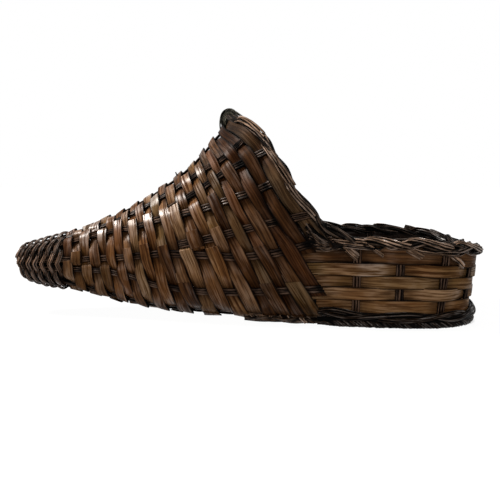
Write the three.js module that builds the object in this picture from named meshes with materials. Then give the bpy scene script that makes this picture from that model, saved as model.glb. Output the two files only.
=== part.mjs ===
// A wicker cornucopia: a horn of flat strips woven on cane ribs, whose mouth opens into a low oval tray.
// Millimetres, +Z up. The tip points along -X, the tray's front along +X, and the basket stands on z = 0.
import * as THREE from 'three';

// Canes, strips and the gap that woven pieces keep
const caneThickness = 2.6;
const stripThickness = 1.0;
const weaveClearance = 0.3;

// The horn's middle surface, by weaving row: the top and the bottom of the row's plane, its half width,
// and how square its lower half is. Row 0 is the first flat strip, and rows below 0 are the bound tip.
const hornStations = [
  { row: -8, topX: -232, topZ: 58, bottomX: -232, bottomZ: 45, half: 7, square: 2 },
  { row: -6.4, topX: -225, topZ: 65, bottomX: -225, bottomZ: 37, half: 14, square: 2 },
  { row: -4, topX: -209, topZ: 70, bottomX: -208, bottomZ: 30.3, half: 19.8, square: 2 },
  { row: 0, topX: -177.6, topZ: 78.8, bottomX: -174.4, bottomZ: 24.5, half: 27.5, square: 2 },
  { row: 4, topX: -143.5, topZ: 91.4, bottomX: -134, bottomZ: 15, half: 39.2, square: 2 },
  { row: 8, topX: -114.3, topZ: 105.6, bottomX: -95, bottomZ: 7, half: 52.6, square: 2.25 },
  { row: 12, topX: -86, topZ: 122.8, bottomX: -50, bottomZ: 3.4, half: 64.8, square: 2.7 },
  { row: 16, topX: -57, topZ: 145, bottomX: 8, bottomZ: 2.4, half: 76, square: 4.2 },
  { row: 20, topX: -37, topZ: 167.5, bottomX: 61, bottomZ: 2.25, half: 84, square: 6 },
  { row: 22, topX: -28.5, topZ: 178, bottomX: 89, bottomZ: 2.25, half: 87, square: 6 },
  { row: 24.4, topX: -19, topZ: 196, bottomX: 135, bottomZ: 2.25, half: 91, square: 6 },
];
const lastFullRow = 20;
const lastRow = 23;
// Half a strip's width, in rows
const stripHalfRow = 0.46;
// How far a strip lies flat past each side of the rib that it crosses
const stripRest = 1.3;
// How far a strip's upper layer runs past the rib where its ends lap, and the most of the space to the
// rib before that it covers
const lapRun = 3;
const lapShare = 0.6;
// From one row's lap to the next row's, in ribs
const lapStep = 3;

// Width of a rib's bundle of canes, by row
const ribWidths = [
  { row: -8, width: 2.4 },
  { row: -6, width: 2.6 },
  { row: -4, width: 3.8 },
  { row: 0, width: 5.2 },
  { row: 8, width: 6.6 },
  { row: 14, width: 7.8 },
];
// Each rib's angle round the horn, by row: 90 is the top, 0 the near side and -90 the bottom
const tipRow = -7.6;
const lowRibRow = -4;
const addedRow = 12.55;
const topAngle = 90;
const bottomAngle = -90;
const sideRibs = [
  { angles: [[-8, -48], [0, -52], [4, -62], [8, -66], [12, -65], [16, -60], [20, -60]], from: lowRibRow },
  { angles: [[-8, -12], [0, -11.5], [3, -11], [5, -13], [7, -17], [9, -25], [11, -29], [13, -31.5],
    [21, -32]], from: tipRow },
  { angles: [[-8, 12], [-3, 8.5], [2, 7.5], [10, 5], [12, 1.5], [15, -6], [17, -10], [20, -12], [23, -11]],
    from: tipRow },
  { angles: [[12, 9], [15, 7], [20, 5], [25, 2]], from: addedRow },
  { angles: [[-8, 38], [-4, 44], [1, 47], [5.5, 44], [8, 38.5], [11, 36.5], [13, 33], [16, 28], [20, 24],
    [25, 21]], from: tipRow },
  { angles: [[12, 41.5], [15, 44], [19, 43], [21.5, 41], [25, 36]], from: addedRow },
  { angles: [[-8, 66], [0, 66], [4, 63.5], [14, 62], [17, 59], [20, 53], [25, 51]], from: tipRow },
];
// A rib on the horn's side runs this far past the last row that crosses it
const ribOverrun = 0.6;
// A rib has no outline at a whole row that is nearer than this to its end
const ribEndRows = 0.3;
// Room between a rib's end and the border
const ribEndClearance = 1.4;

// Binding of paired canes round the tip, in two lengths: one at the tip's end and one in front of it
const bindingFrom = -7.3;
const bindingMiddle = -4.05;
const bindingTo = -0.9;
const bindingGap = 0.04;
const bindingHalfRow = 0.36;
const bindingThickness = 2.4;
const bindingClearance = 0.75;
const bindingSteps = 18;

// The tray: where the horn's rows stop and its wall starts, and the oval of its wall
const trayStartX = 57;
const trayCenterX = 150;
const trayLength = 58;
const trayHalf = 86;
const traySquare = 2.7;
const trayFlare = 10;
// The wall's strips run this far on inside the horn, and this far in from its middle surface
const tuckLength = 14;
const tuckInset = 8;
// The lowest wall strip starts in front of the horn
const lowestStripFromX = 60.5;
// The wall keeps the outline that it has at this height all the way down
const wallSquareBelow = 22;

// The rim border's centre line, at the front and beside the horn
const rimFrontZ = 66;
const rimSideZ = 76.3;
const rimLevelAngle = 110;

// Foot border: two bundles of canes, one on the other, round the outside of the stakes
const footWidth = 6;
const footBundle = 6.8;
const footAngle = 149;
const footClearance = 0.7;
const footSteps = 64;

// The tray's stakes by their angle round the oval: canes that cross the floor, and the ribs' front ends
const crossAngles = [126, 101, 70, 45];
const frontAngle = 24;
const stakeWidth = 7.8;
const wallRows = 5;
const wallRowGap = 0.8;
const floorZ = 2.9;
// A long rib comes down to the floor within this length past the last row round the horn
const floorEase = 16;
const bendLength = 6.5;
const crossBend = 8;

// Floor strips go back and forth between the cross canes, from a little in front of the horn
const floorFromX = 70;
const floorPitch = 9.3;
const floorGap = 0.8;

// Twisted border round the mouth and the tray's rim, as one closed rope of two strands
const strandRadius = 2.65;
const ropeTwistRadius = 3.1;
const ropeTurns = 12;
const ropeStepsPerTurn = 8;
const strandSides = 6;
// Row where the border runs over the mouth, by its degrees from the near side
const mouthRows = [[-3, 24.38], [10, 24.3], [21, 24.6], [32, 24.93], [43, 25.19], [53, 25.06], [72, 24.19],
  [90, 24]];
const rimFromAngle = 124;
const borderPoints = 40;
const borderSamples = 400;

// Canes bent over the border at the top of the mouth, from one end's direction to the other's
const loopWidth = 8;
const loopFrom = 205;
const loopTo = -25;
const loopSteps = 7;

// A bend in a cane is cut straight across this share of its length
const bendShare = 1 / 3;
// Halvings in the search for a number, and the step over which a direction is measured
const searchSteps = 40;
const fineStep = 1e-4;
const degreeStep = 0.5;

const ropeRadius = ropeTwistRadius + strandRadius;
const stripOffset = caneThickness / 2 + weaveClearance + stripThickness / 2;
const footHeight = 2 * footBundle + weaveClearance;
const up = new THREE.Vector3(0, 0, 1);

// Colours of the stained wood
const colours = {
  strip: 0x6b4a33,
  cane: 0x3f2f29,
  border: 0x4a3a30,
  foot: 0x33261f,
};

function smooth(t) {
  const x = THREE.MathUtils.clamp(t, 0, 1);
  return x * x * (3 - 2 * x);
}

// A smooth curve through [place, value] pairs that never overshoots them
function curve(pairs, x) {
  const last = pairs.length - 1;
  if (last === 0 || x <= pairs[0][0]) {
    return last === 0 ? pairs[0][1] : pairs[0][1] + (x - pairs[0][0]) * secant(pairs, 0);
  }
  let i = 0;
  while (i < last - 1 && x > pairs[i + 1][0]) {
    i += 1;
  }
  const width = pairs[i + 1][0] - pairs[i][0];
  const t = (x - pairs[i][0]) / width;
  const start = slope(pairs, i) * width;
  const end = slope(pairs, i + 1) * width;
  return (2 * t ** 3 - 3 * t ** 2 + 1) * pairs[i][1] + (t ** 3 - 2 * t ** 2 + t) * start
    + (3 * t ** 2 - 2 * t ** 3) * pairs[i + 1][1] + (t ** 3 - t ** 2) * end;
}

function secant(pairs, i) {
  return (pairs[i + 1][1] - pairs[i][1]) / (pairs[i + 1][0] - pairs[i][0]);
}

function slope(pairs, i) {
  if (i === 0) {
    return secant(pairs, 0);
  }
  if (i === pairs.length - 1) {
    return secant(pairs, i - 1);
  }
  const before = secant(pairs, i - 1);
  const after = secant(pairs, i);
  return before * after <= 0 ? 0 : (2 * before * after) / (before + after);
}

// Where a rising or falling function of one number reaches a value
function solve(f, value, low, high) {
  const rising = f(high) > f(low);
  let a = low;
  let b = high;
  for (let i = 0; i < searchSteps; i += 1) {
    const middle = (a + b) / 2;
    if ((f(middle) < value) === rising) {
      a = middle;
    } else {
      b = middle;
    }
  }
  return (a + b) / 2;
}

function hornValue(key, row) {
  return curve(hornStations.map((station) => [station.row, station[key]]), row);
}

// A point of a ring that is round above and squarer below, in its own plane
function ringPoint(angle, height, half, square) {
  const c = Math.cos(angle);
  const s = Math.sin(angle);
  const power = s >= 0 ? 2 : square;
  const reach = (Math.abs(c) ** power + Math.abs(s) ** power) ** (-1 / power);
  return new THREE.Vector2(half * reach * c, height * reach * s);
}

// A point of the horn: row along it, degrees round it, and how far out from the middle surface
function hornPoint(row, degrees, out) {
  const angle = THREE.MathUtils.degToRad(degrees);
  const topX = hornValue('topX', row);
  const topZ = hornValue('topZ', row);
  const bottomX = hornValue('bottomX', row);
  const bottomZ = hornValue('bottomZ', row);
  const half = hornValue('half', row);
  const square = hornValue('square', row);
  const height = Math.hypot(topX - bottomX, topZ - bottomZ) / 2;
  const leanX = (topX - bottomX) / 2 / height;
  const leanZ = (topZ - bottomZ) / 2 / height;
  const point = ringPoint(angle, height, half, square);
  const along = ringPoint(angle + fineStep, height, half, square)
    .sub(ringPoint(angle - fineStep, height, half, square)).normalize();
  point.x += out * along.y;
  point.y -= out * along.x;
  return new THREE.Vector3(
    (topX + bottomX) / 2 + leanX * point.y,
    -point.x,
    Math.max(0, (topZ + bottomZ) / 2 + leanZ * point.y),
  );
}

// Degrees round the horn that cover a length there
function degreesFor(row, degrees, length) {
  const span = hornPoint(row, degrees - degreeStep, 0).distanceTo(hornPoint(row, degrees + degreeStep, 0));
  return (2 * degreeStep * length) / span;
}

function ribWidth(row) {
  return row >= ribWidths.at(-1).row ? ribWidths.at(-1).width
    : curve(ribWidths.map((station) => [station.row, station.width]), row);
}

// All ribs in order round the horn, from the bottom up the near side, over the top and down the far side
function allRibs() {
  const near = sideRibs.map((rib, i) => ({
    name: `rib_near_${i + 1}`,
    from: rib.from,
    angleAt: (row) => curve(rib.angles, row),
  }));
  const far = sideRibs.map((rib, i) => ({
    name: `rib_far_${i + 1}`,
    from: rib.from,
    angleAt: (row) => 180 - curve(rib.angles, row),
  })).reverse();
  const bottom = { name: 'rib_bottom', from: tipRow, angleAt: () => bottomAngle };
  const top = { name: 'rib_top', from: tipRow, angleAt: () => topAngle };
  return [bottom, ...near, top, ...far];
}

const ribs = allRibs();

// One closed solid through a row of outlines with equal numbers of points, capped or joined end to end
function solidThrough(outlines, joined) {
  const count = outlines[0].length;
  const faces = [];
  const last = joined ? outlines.length : outlines.length - 1;
  for (let i = 0; i < last; i += 1) {
    const j = (i + 1) % outlines.length;
    for (let k = 0; k < count; k += 1) {
      const m = (k + 1) % count;
      faces.push([i * count + k, j * count + k, j * count + m]);
      faces.push([i * count + k, j * count + m, i * count + m]);
    }
  }
  if (!joined) {
    const end = (outlines.length - 1) * count;
    for (let k = 1; k < count - 1; k += 1) {
      faces.push([0, k, k + 1]);
      faces.push([end, end + k + 1, end + k]);
    }
  }
  const points = outlines.flat();
  let volume = 0;
  for (const [a, b, c] of faces) {
    volume += points[a].dot(new THREE.Vector3().crossVectors(points[b], points[c]));
  }
  const index = faces.flatMap(([a, b, c]) => (volume > 0 ? [a, b, c] : [a, c, b]));
  const geometry = new THREE.BufferGeometry();
  geometry.setAttribute('position', new THREE.Float32BufferAttribute(points.flatMap((p) => p.toArray()), 3));
  geometry.setIndex(index);
  geometry.computeVertexNormals();
  return geometry;
}

// A flat outline across a strip or bundle, from its centre, its side direction and its outward direction
function flatOutline(center, side, out, width, thickness) {
  const across = side.clone().multiplyScalar(width / 2);
  const through = out.clone().multiplyScalar(thickness / 2);
  return [
    center.clone().sub(across).sub(through),
    center.clone().add(across).sub(through),
    center.clone().add(across).add(through),
    center.clone().sub(across).add(through),
  ];
}

// A strip's outline where it crosses the horn at an angle
function hornStripOutline(row, degrees, out) {
  const inner = out - stripThickness / 2;
  const outer = out + stripThickness / 2;
  return [
    hornPoint(row - stripHalfRow, degrees, inner),
    hornPoint(row + stripHalfRow, degrees, inner),
    hornPoint(row + stripHalfRow, degrees, outer),
    hornPoint(row - stripHalfRow, degrees, outer),
  ];
}

// The ribs that a row crosses. The last rows stop where the tray's wall starts.
function ribsAt(row) {
  return ribs.filter((rib) => rib.from < row
    && (row <= lastFullRow || hornPoint(row, rib.angleAt(row), 0).x <= trayStartX));
}

// A strip passes outside every other rib, and the next row passes outside the ones between
function passesOutside(row, rib) {
  const present = ribs.filter((other) => other.from < row);
  return (row + present.indexOf(rib)) % 2 === 0;
}

function crossing(row, rib) {
  const angle = rib.angleAt(row);
  return {
    angle,
    half: degreesFor(row, angle, ribWidth(row) / 2 + stripRest),
    out: passesOutside(row, rib) ? stripOffset : -stripOffset,
  };
}

// A whole row: one strip round the horn, whose ends lap on the outside of one rib
function ringStrip(row) {
  const crossed = ribsAt(row);
  const onSides = crossed.filter((rib) => passesOutside(row, rib) && hornPoint(row, rib.angleAt(row), 0).z
    > hornValue('bottomZ', row) + hornValue('half', row) / 2);
  const lap = onSides[(row * lapStep) % onSides.length];
  const first = crossed.indexOf(lap);
  const order = crossed.map((rib, i) => crossed[(first + i) % crossed.length]);
  const outlines = [];
  let end = 0;
  for (const [i, rib] of order.entries()) {
    const { angle, half, out } = crossing(row, rib);
    const turn = i > 0 && angle < lap.angleAt(row) ? 360 : 0;
    end = angle + turn + half;
    outlines.push(hornStripOutline(row, angle + turn - half, out));
    outlines.push(hornStripOutline(row, end, out));
  }
  const { angle, half, out } = crossing(row, lap);
  const over = out + stripThickness + weaveClearance;
  const start = angle + 360 - half;
  const run = Math.min(degreesFor(row, angle, lapRun), (start - end) * lapShare);
  outlines.push(hornStripOutline(row, start - run, over));
  outlines.push(hornStripOutline(row, angle + 360 + half + run / 2, over));
  return solidThrough(outlines, false);
}

// One of the last rows: a strip over the top of the mouth, from the wall on one side to the other
function archStrip(row) {
  const crossed = ribsAt(row);
  const outlines = [];
  for (const rib of crossed) {
    const { angle, half, out } = crossing(row, rib);
    outlines.push(hornStripOutline(row, angle - half, out));
    outlines.push(hornStripOutline(row, angle + half, out));
  }
  return solidThrough(outlines, false);
}

// The horn's half width where the wall starts, at a height
function hornHalfAt(x, z) {
  const planeX = (row) => {
    const share = (z - hornValue('bottomZ', row)) / (hornValue('topZ', row) - hornValue('bottomZ', row));
    return hornValue('bottomX', row) + share * (hornValue('topX', row) - hornValue('bottomX', row));
  };
  const row = solve(planeX, x, 0, hornStations.at(-1).row);
  const middle = (hornValue('topZ', row) + hornValue('bottomZ', row)) / 2;
  const reach = (hornValue('topZ', row) - hornValue('bottomZ', row)) / 2;
  const level = THREE.MathUtils.clamp((z - middle) / reach, -1, 1);
  const power = level >= 0 ? 2 : hornValue('square', row);
  return hornValue('half', row) * (1 - Math.abs(level) ** power) ** (1 / power);
}

// The wall's plan at a height: degrees round the oval, minus on the near side, and on past 90 in a line
function wallPlan(degrees, z) {
  const flare = trayFlare * (z / rimSideZ);
  const side = Math.sign(degrees) || 1;
  const size = Math.abs(degrees);
  const half = trayHalf + flare;
  if (size <= 90) {
    const angle = THREE.MathUtils.degToRad(size);
    const reach = (Math.cos(angle) ** traySquare + Math.sin(angle) ** traySquare) ** (-1 / traySquare);
    return new THREE.Vector2(
      trayCenterX + (trayLength + flare) * reach * Math.cos(angle),
      side * half * reach * Math.sin(angle),
    );
  }
  const x = trayCenterX - THREE.MathUtils.degToRad(size - 90) * trayHalf;
  const startHalf = hornHalfAt(Math.min(x, trayStartX), Math.max(z, wallSquareBelow)) - tuckInset;
  const t = (x - trayStartX) / (trayCenterX - trayStartX);
  return new THREE.Vector2(x, side * THREE.MathUtils.lerp(startHalf, half, smooth(t)));
}

// The wall's outward and sideways directions, level with the floor
function wallFrame(degrees, z) {
  const along = wallPlan(degrees + degreeStep, z).sub(wallPlan(degrees - degreeStep, z)).normalize();
  return {
    side: new THREE.Vector3(along.x, along.y, 0),
    out: new THREE.Vector3(along.y, -along.x, 0),
  };
}

function wallPoint(degrees, z, out) {
  const plan = wallPlan(degrees, z);
  return new THREE.Vector3(plan.x, plan.y, z).addScaledVector(wallFrame(degrees, z).out, out);
}

function wallAngleAt(x) {
  return 90 + THREE.MathUtils.radToDeg((trayCenterX - x) / trayHalf);
}

function rimZ(degrees) {
  return THREE.MathUtils.lerp(rimFrontZ, rimSideZ, smooth(Math.abs(degrees) / rimLevelAngle));
}

// The lower and upper edge of a wall row, counted from the top
function wallRowEdges(row, degrees) {
  const bottom = footHeight + weaveClearance;
  const top = rimZ(degrees) - ropeRadius - wallRowGap;
  const pitch = (top - bottom) / wallRows;
  return { low: top - row * pitch + wallRowGap / 2, high: top - (row - 1) * pitch - wallRowGap / 2 };
}

// Stakes in order round the wall, from the horn's near side to its far side
const stakeAngles = [
  ...crossAngles.map((angle) => -angle),
  -frontAngle,
  0,
  frontAngle,
  ...crossAngles.toReversed(),
];

// One strip of the tray's wall, woven round the stakes and tucked into the horn at both ends
function wallStrip(row) {
  const outline = (degrees, out) => {
    const { low, high } = wallRowEdges(row, degrees);
    const inner = out - stripThickness / 2;
    const outer = out + stripThickness / 2;
    return [
      wallPoint(degrees, low, inner),
      wallPoint(degrees, high, inner),
      wallPoint(degrees, high, outer),
      wallPoint(degrees, low, outer),
    ];
  };
  const half = THREE.MathUtils.radToDeg((stakeWidth / 2 + stripRest) / trayHalf);
  const end = wallAngleAt(row < wallRows ? trayStartX - tuckLength : lowestStripFromX);
  const start = wallAngleAt(row < wallRows ? trayStartX : lowestStripFromX + stripRest);
  const outlines = [outline(-end, 0), outline(-start, 0)];
  for (const [i, angle] of stakeAngles.entries()) {
    const out = (row + i) % 2 === 0 ? stripOffset : -stripOffset;
    outlines.push(outline(angle - half, out));
    outlines.push(outline(angle + half, out));
  }
  outlines.push(outline(start, 0));
  outlines.push(outline(end, 0));
  return solidThrough(outlines, false);
}

// Heights where a stake on the wall has an outline, from its top under the rim down to its bend
function stakeHeights(degrees) {
  const top = rimZ(degrees) - ropeRadius - weaveClearance;
  const joints = Array.from({ length: wallRows - 1 }, (_, i) => (
    wallRowEdges(i + 1, degrees).low - wallRowGap / 2));
  return [top, ...joints, footHeight, footHeight - caneThickness];
}

// A bundle of canes up the near wall, across the floor and up the far wall
function crossCane(angle) {
  const crossZ = floorZ + caneThickness + weaveClearance;
  const halfRun = (degrees) => {
    const outlines = stakeHeights(degrees).map((z) => {
      const { side, out } = wallFrame(degrees, z);
      return flatOutline(wallPoint(degrees, z, 0), side, out, stakeWidth, caneThickness);
    });
    const { side, out } = wallFrame(degrees, crossZ);
    const level = new THREE.Vector3(-Math.sign(degrees), 0, 0);
    const outward = new THREE.Vector3(0, Math.sign(degrees), 0);
    const cut = crossBend * bendShare;
    const corner = wallPoint(degrees, crossZ, -cut).addScaledVector(up, cut);
    const turning = out.clone().sub(up).normalize();
    const across = side.clone().add(level).normalize();
    outlines.push(flatOutline(corner, across, turning, stakeWidth, caneThickness));
    const floor = wallPoint(degrees, crossZ, 0).addScaledVector(outward, -crossBend);
    outlines.push(flatOutline(floor, level, up.clone().negate(), stakeWidth, caneThickness));
    return outlines;
  };
  const near = halfRun(-angle);
  const far = halfRun(angle).map(([a, b, c, d]) => [b, a, d, c]).reverse();
  return solidThrough([...near, ...far], false);
}

// Centre line of the border: over the mouth from its near side, and back round the tray's rim
function borderPath() {
  const points = [];
  const low = mouthRows[0][0];
  for (let i = 0; i <= borderPoints; i += 1) {
    const angle = THREE.MathUtils.lerp(low, 180 - low, i / borderPoints);
    points.push(hornPoint(curve(mouthRows, Math.min(angle, 180 - angle)), angle, 0));
  }
  for (let i = 0; i <= borderPoints; i += 1) {
    const angle = THREE.MathUtils.lerp(rimFromAngle, -rimFromAngle, i / borderPoints);
    points.push(wallPoint(angle, rimZ(angle), 0));
  }
  return new THREE.CatmullRomCurve3(points, true, 'centripetal');
}

// One strand of the border, twisted round its centre line by a share of a turn
function borderStrand(path, share) {
  const steps = ropeTurns * ropeStepsPerTurn;
  const centers = path.getSpacedPoints(steps).slice(0, steps);
  const middle = new THREE.Vector3();
  centers.forEach((center) => middle.addScaledVector(center, 1 / steps));
  const outlines = centers.map((center, i) => {
    const before = centers[(i + steps - 1) % steps];
    const after = centers[(i + 1) % steps];
    const along = after.clone().sub(before).normalize();
    const away = center.clone().sub(middle).projectOnPlane(along).normalize();
    const across = new THREE.Vector3().crossVectors(along, away);
    const ring = (radius, angle, from) => from.clone()
      .addScaledVector(away, radius * Math.cos(angle))
      .addScaledVector(across, radius * Math.sin(angle));
    const twist = 2 * Math.PI * (i / ropeStepsPerTurn + share);
    const strand = ring(ropeTwistRadius, twist, center);
    return Array.from({ length: strandSides }, (_, k) => (
      ring(strandRadius, (2 * Math.PI * k) / strandSides, strand)));
  });
  return solidThrough(outlines, true);
}

// A rib's outline on the horn, from its rows' own planes
function ribOutline(rib, row) {
  const angle = rib.angleAt(row);
  const half = degreesFor(row, angle, ribWidth(row) / 2);
  return [
    hornPoint(row, angle - half, -caneThickness / 2),
    hornPoint(row, angle + half, -caneThickness / 2),
    hornPoint(row, angle + half, caneThickness / 2),
    hornPoint(row, angle - half, caneThickness / 2),
  ];
}

// Rows where a rib has an outline: its ends and each whole row between
function ribRows(from, to) {
  const rows = [from];
  for (let row = Math.ceil(from + ribEndRows); row < to - ribEndRows; row += 1) {
    rows.push(row);
  }
  rows.push(to);
  return rows;
}

// A rib that ends under the border of the mouth, or where the tray's wall starts
function shortRib(rib, path) {
  const rows = Array.from({ length: lastRow }, (_, i) => i + 1);
  const crossed = rows.filter((row) => ribsAt(row).includes(rib));
  const wall = crossed.at(-1) + ribOverrun;
  const line = path.getSpacedPoints(borderSamples);
  const room = (row) => {
    const end = hornPoint(row, rib.angleAt(row), 0);
    return Math.min(...line.map((point) => point.distanceTo(end)));
  };
  const reach = ropeRadius + ribEndClearance;
  const angle = rib.angleAt(lastRow);
  const borderRow = curve(mouthRows, Math.min(angle, 180 - angle));
  const limit = crossed.at(-1) < lastRow ? wall : borderRow;
  const end = room(limit) < reach ? solve(room, reach, crossed.at(-1), limit) : limit;
  return solidThrough(ribRows(rib.from, end).map((row) => ribOutline(rib, row)), false);
}

// A bottom rib that runs on along the tray's floor and turns up as a stake of the front wall
function longRib(rib, degrees) {
  const outlines = ribRows(rib.from, lastFullRow).map((row) => ribOutline(rib, row));
  const start = hornPoint(lastFullRow, rib.angleAt(lastFullRow), 0);
  const foot = wallPoint(degrees, floorZ, -bendLength);
  const near = new THREE.Vector3(0, -1, 0);
  const down = up.clone().negate();
  const { side, out } = wallFrame(degrees, floorZ);
  const wallSide = side.clone().negate();
  const ease = start.clone().lerp(foot, floorEase / (foot.x - start.x)).setZ(floorZ);
  outlines.push(flatOutline(ease, near, down, stakeWidth, caneThickness));
  outlines.push(flatOutline(foot, near, down, stakeWidth, caneThickness));
  const cut = bendLength * bendShare;
  const corner = wallPoint(degrees, floorZ, -cut).addScaledVector(up, cut);
  outlines.push(flatOutline(corner, wallSide, out.clone().sub(up).normalize(), stakeWidth, caneThickness));
  for (const z of stakeHeights(degrees).reverse()) {
    outlines.push(flatOutline(wallPoint(degrees, z, 0), wallSide, out, stakeWidth, caneThickness));
  }
  return solidThrough(outlines, false);
}

// One bundle of the foot border, round the outside of the stakes
function footBand(bottom) {
  const inner = caneThickness / 2 + footClearance;
  const outer = inner + footWidth;
  const outlines = Array.from({ length: footSteps + 1 }, (_, i) => {
    const degrees = THREE.MathUtils.lerp(-footAngle, footAngle, i / footSteps);
    const at = (z, out) => wallPoint(degrees, bottom + footBundle, out).setZ(z);
    return [
      at(bottom, inner),
      at(bottom + footBundle, inner),
      at(bottom + footBundle, outer),
      at(bottom, outer),
    ];
  });
  return solidThrough(outlines, false);
}

// Wall half width at a place along the floor
function floorHalf(x) {
  if (x <= trayCenterX) {
    return wallPlan(wallAngleAt(x), 0).y;
  }
  return wallPlan(solve((degrees) => wallPlan(degrees, 0).x, x, 0, 90), 0).y;
}

// The spaces along the floor before, between and after the cross canes that have room for a strip
function floorZones() {
  const edge = stakeWidth / 2 + weaveClearance;
  const canes = crossAngles.map((angle) => wallPoint(angle, floorZ, 0).x);
  const starts = [floorFromX, ...canes.map((x) => x + edge)];
  return canes.map((x, i) => {
    const room = x - edge - starts[i];
    const passes = Math.floor(room / floorPitch);
    return { from: starts[i] + (room - passes * floorPitch) / 2, passes };
  });
}

// A floor strip that goes back and forth over and under the three long ribs
function floorWeaver(zone) {
  const width = floorPitch - floorGap;
  const start = hornPoint(lastFullRow, ribs[1].angleAt(lastFullRow), 0);
  const foot = wallPoint(-frontAngle, floorZ, -bendLength);
  const down = up.clone().negate();
  const turn = floorPitch / 2;
  const outlines = [];
  const end = Math.min(floorHalf(zone.from), floorHalf(zone.from + zone.passes * floorPitch))
    - turn - width / 2 - weaveClearance;
  for (let pass = 0; pass < zone.passes; pass += 1) {
    const x = zone.from + (pass + 0.5) * floorPitch;
    const way = pass % 2 === 0 ? 1 : -1;
    const side = new THREE.Vector3(way, 0, 0);
    const add = (y, z) => {
      outlines.push(flatOutline(new THREE.Vector3(x, y, z), side, down, width, stripThickness));
    };
    const half = stakeWidth / 2 + stripRest;
    const ribY = Math.abs(THREE.MathUtils.lerp(start.y, foot.y, (x - start.x) / (foot.x - start.x)));
    add(-way * end, floorZ);
    for (const [i, y] of [-way * ribY, 0, way * ribY].entries()) {
      const lift = (pass + i) % 2 === 0 ? stripOffset : -stripOffset;
      add(y - way * half, floorZ + lift);
      add(y + way * half, floorZ + lift);
    }
    add(way * end, floorZ);
    if (pass < zone.passes - 1) {
      for (const share of [1 / 4, 1 / 2, 3 / 4]) {
        const angle = Math.PI * share;
        const radial = new THREE.Vector3(-Math.cos(angle), way * Math.sin(angle), 0);
        const center = new THREE.Vector3(x + turn, way * end, floorZ).addScaledVector(radial, turn);
        outlines.push(flatOutline(center, radial.clone().multiplyScalar(-way), down, width, stripThickness));
      }
    }
  }
  return solidThrough(outlines, false);
}

// Turns of paired cane that bind the ribs together at the tip, from one row to another
function tipBinding(from, to) {
  const turns = to - from;
  const steps = Math.round(turns * bindingSteps);
  const inner = caneThickness / 2 + bindingClearance;
  const outer = inner + bindingThickness;
  const outlines = Array.from({ length: steps + 1 }, (_, i) => {
    const row = from + (turns * i) / steps;
    const angle = 360 * (from - bindingFrom) + (360 * i) / bindingSteps;
    return [
      hornPoint(row - bindingHalfRow, angle, inner),
      hornPoint(row + bindingHalfRow, angle, inner),
      hornPoint(row + bindingHalfRow, angle, outer),
      hornPoint(row - bindingHalfRow, angle, outer),
    ];
  });
  return solidThrough(outlines, false);
}

// Canes bent over the border at the top of the mouth
function peakLoop(path) {
  const top = path.getSpacedPoints(borderSamples).reduce((a, b) => (a.z > b.z ? a : b));
  const radius = ropeRadius + weaveClearance + caneThickness / 2;
  const outlines = Array.from({ length: loopSteps + 1 }, (_, i) => {
    const angle = THREE.MathUtils.degToRad(THREE.MathUtils.lerp(loopFrom, loopTo, i / loopSteps));
    const out = new THREE.Vector3(Math.cos(angle), 0, Math.sin(angle));
    const center = new THREE.Vector3(top.x, 0, top.z).addScaledVector(out, radius);
    return flatOutline(center, new THREE.Vector3(0, 1, 0), out, loopWidth, caneThickness);
  });
  return solidThrough(outlines, false);
}

const cornucopia = new THREE.Group();

function add(name, geometry, color) {
  const material = new THREE.MeshStandardMaterial({ color, roughness: 0.55, metalness: 0 });
  const mesh = new THREE.Mesh(geometry, material);
  mesh.name = name;
  cornucopia.add(mesh);
}

// The frame's origin is under the middle of the basket's box
function center(group) {
  const box = new THREE.Box3().setFromObject(group);
  const middle = box.getCenter(new THREE.Vector3());
  for (const mesh of group.children) {
    mesh.geometry.translate(-middle.x, -middle.y, -box.min.z);
  }
}

const border = borderPath();
const longRibs = { rib_bottom: 0, rib_near_1: -frontAngle, rib_far_1: frontAngle };
for (const rib of ribs) {
  const geometry = rib.name in longRibs ? longRib(rib, longRibs[rib.name]) : shortRib(rib, border);
  add(rib.name, geometry, colours.cane);
}
for (let row = 0; row <= lastRow; row += 1) {
  const geometry = row <= lastFullRow ? ringStrip(row) : archStrip(row);
  add(`horn_strip_${String(row + 1).padStart(2, '0')}`, geometry, colours.strip);
}
for (let row = 1; row <= wallRows; row += 1) {
  add(`wall_strip_${row}`, wallStrip(row), colours.strip);
}
crossAngles.forEach((angle, i) => add(`cross_cane_${i + 1}`, crossCane(angle), colours.cane));
floorZones().forEach((zone, i) => add(`floor_strip_${i + 1}`, floorWeaver(zone), colours.strip));
add('border_strand_1', borderStrand(border, 0), colours.border);
add('border_strand_2', borderStrand(border, 0.5), colours.border);
add('foot_border_lower', footBand(0), colours.foot);
add('foot_border_upper', footBand(footBundle + weaveClearance), colours.foot);
add('tip_binding_1', tipBinding(bindingFrom, bindingMiddle - bindingGap), colours.cane);
add('tip_binding_2', tipBinding(bindingMiddle + bindingGap, bindingTo), colours.cane);
add('peak_loop', peakLoop(border), colours.cane);
center(cornucopia);

export default cornucopia;
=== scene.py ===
"""Wicker cornucopia: a horn of flat strips woven on bundled canes, which opens into a low oval tray."""
import logging
import math
import random
from collections.abc import Callable, Sequence
from dataclasses import dataclass, field
from enum import Enum, IntEnum
from functools import cache

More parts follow.
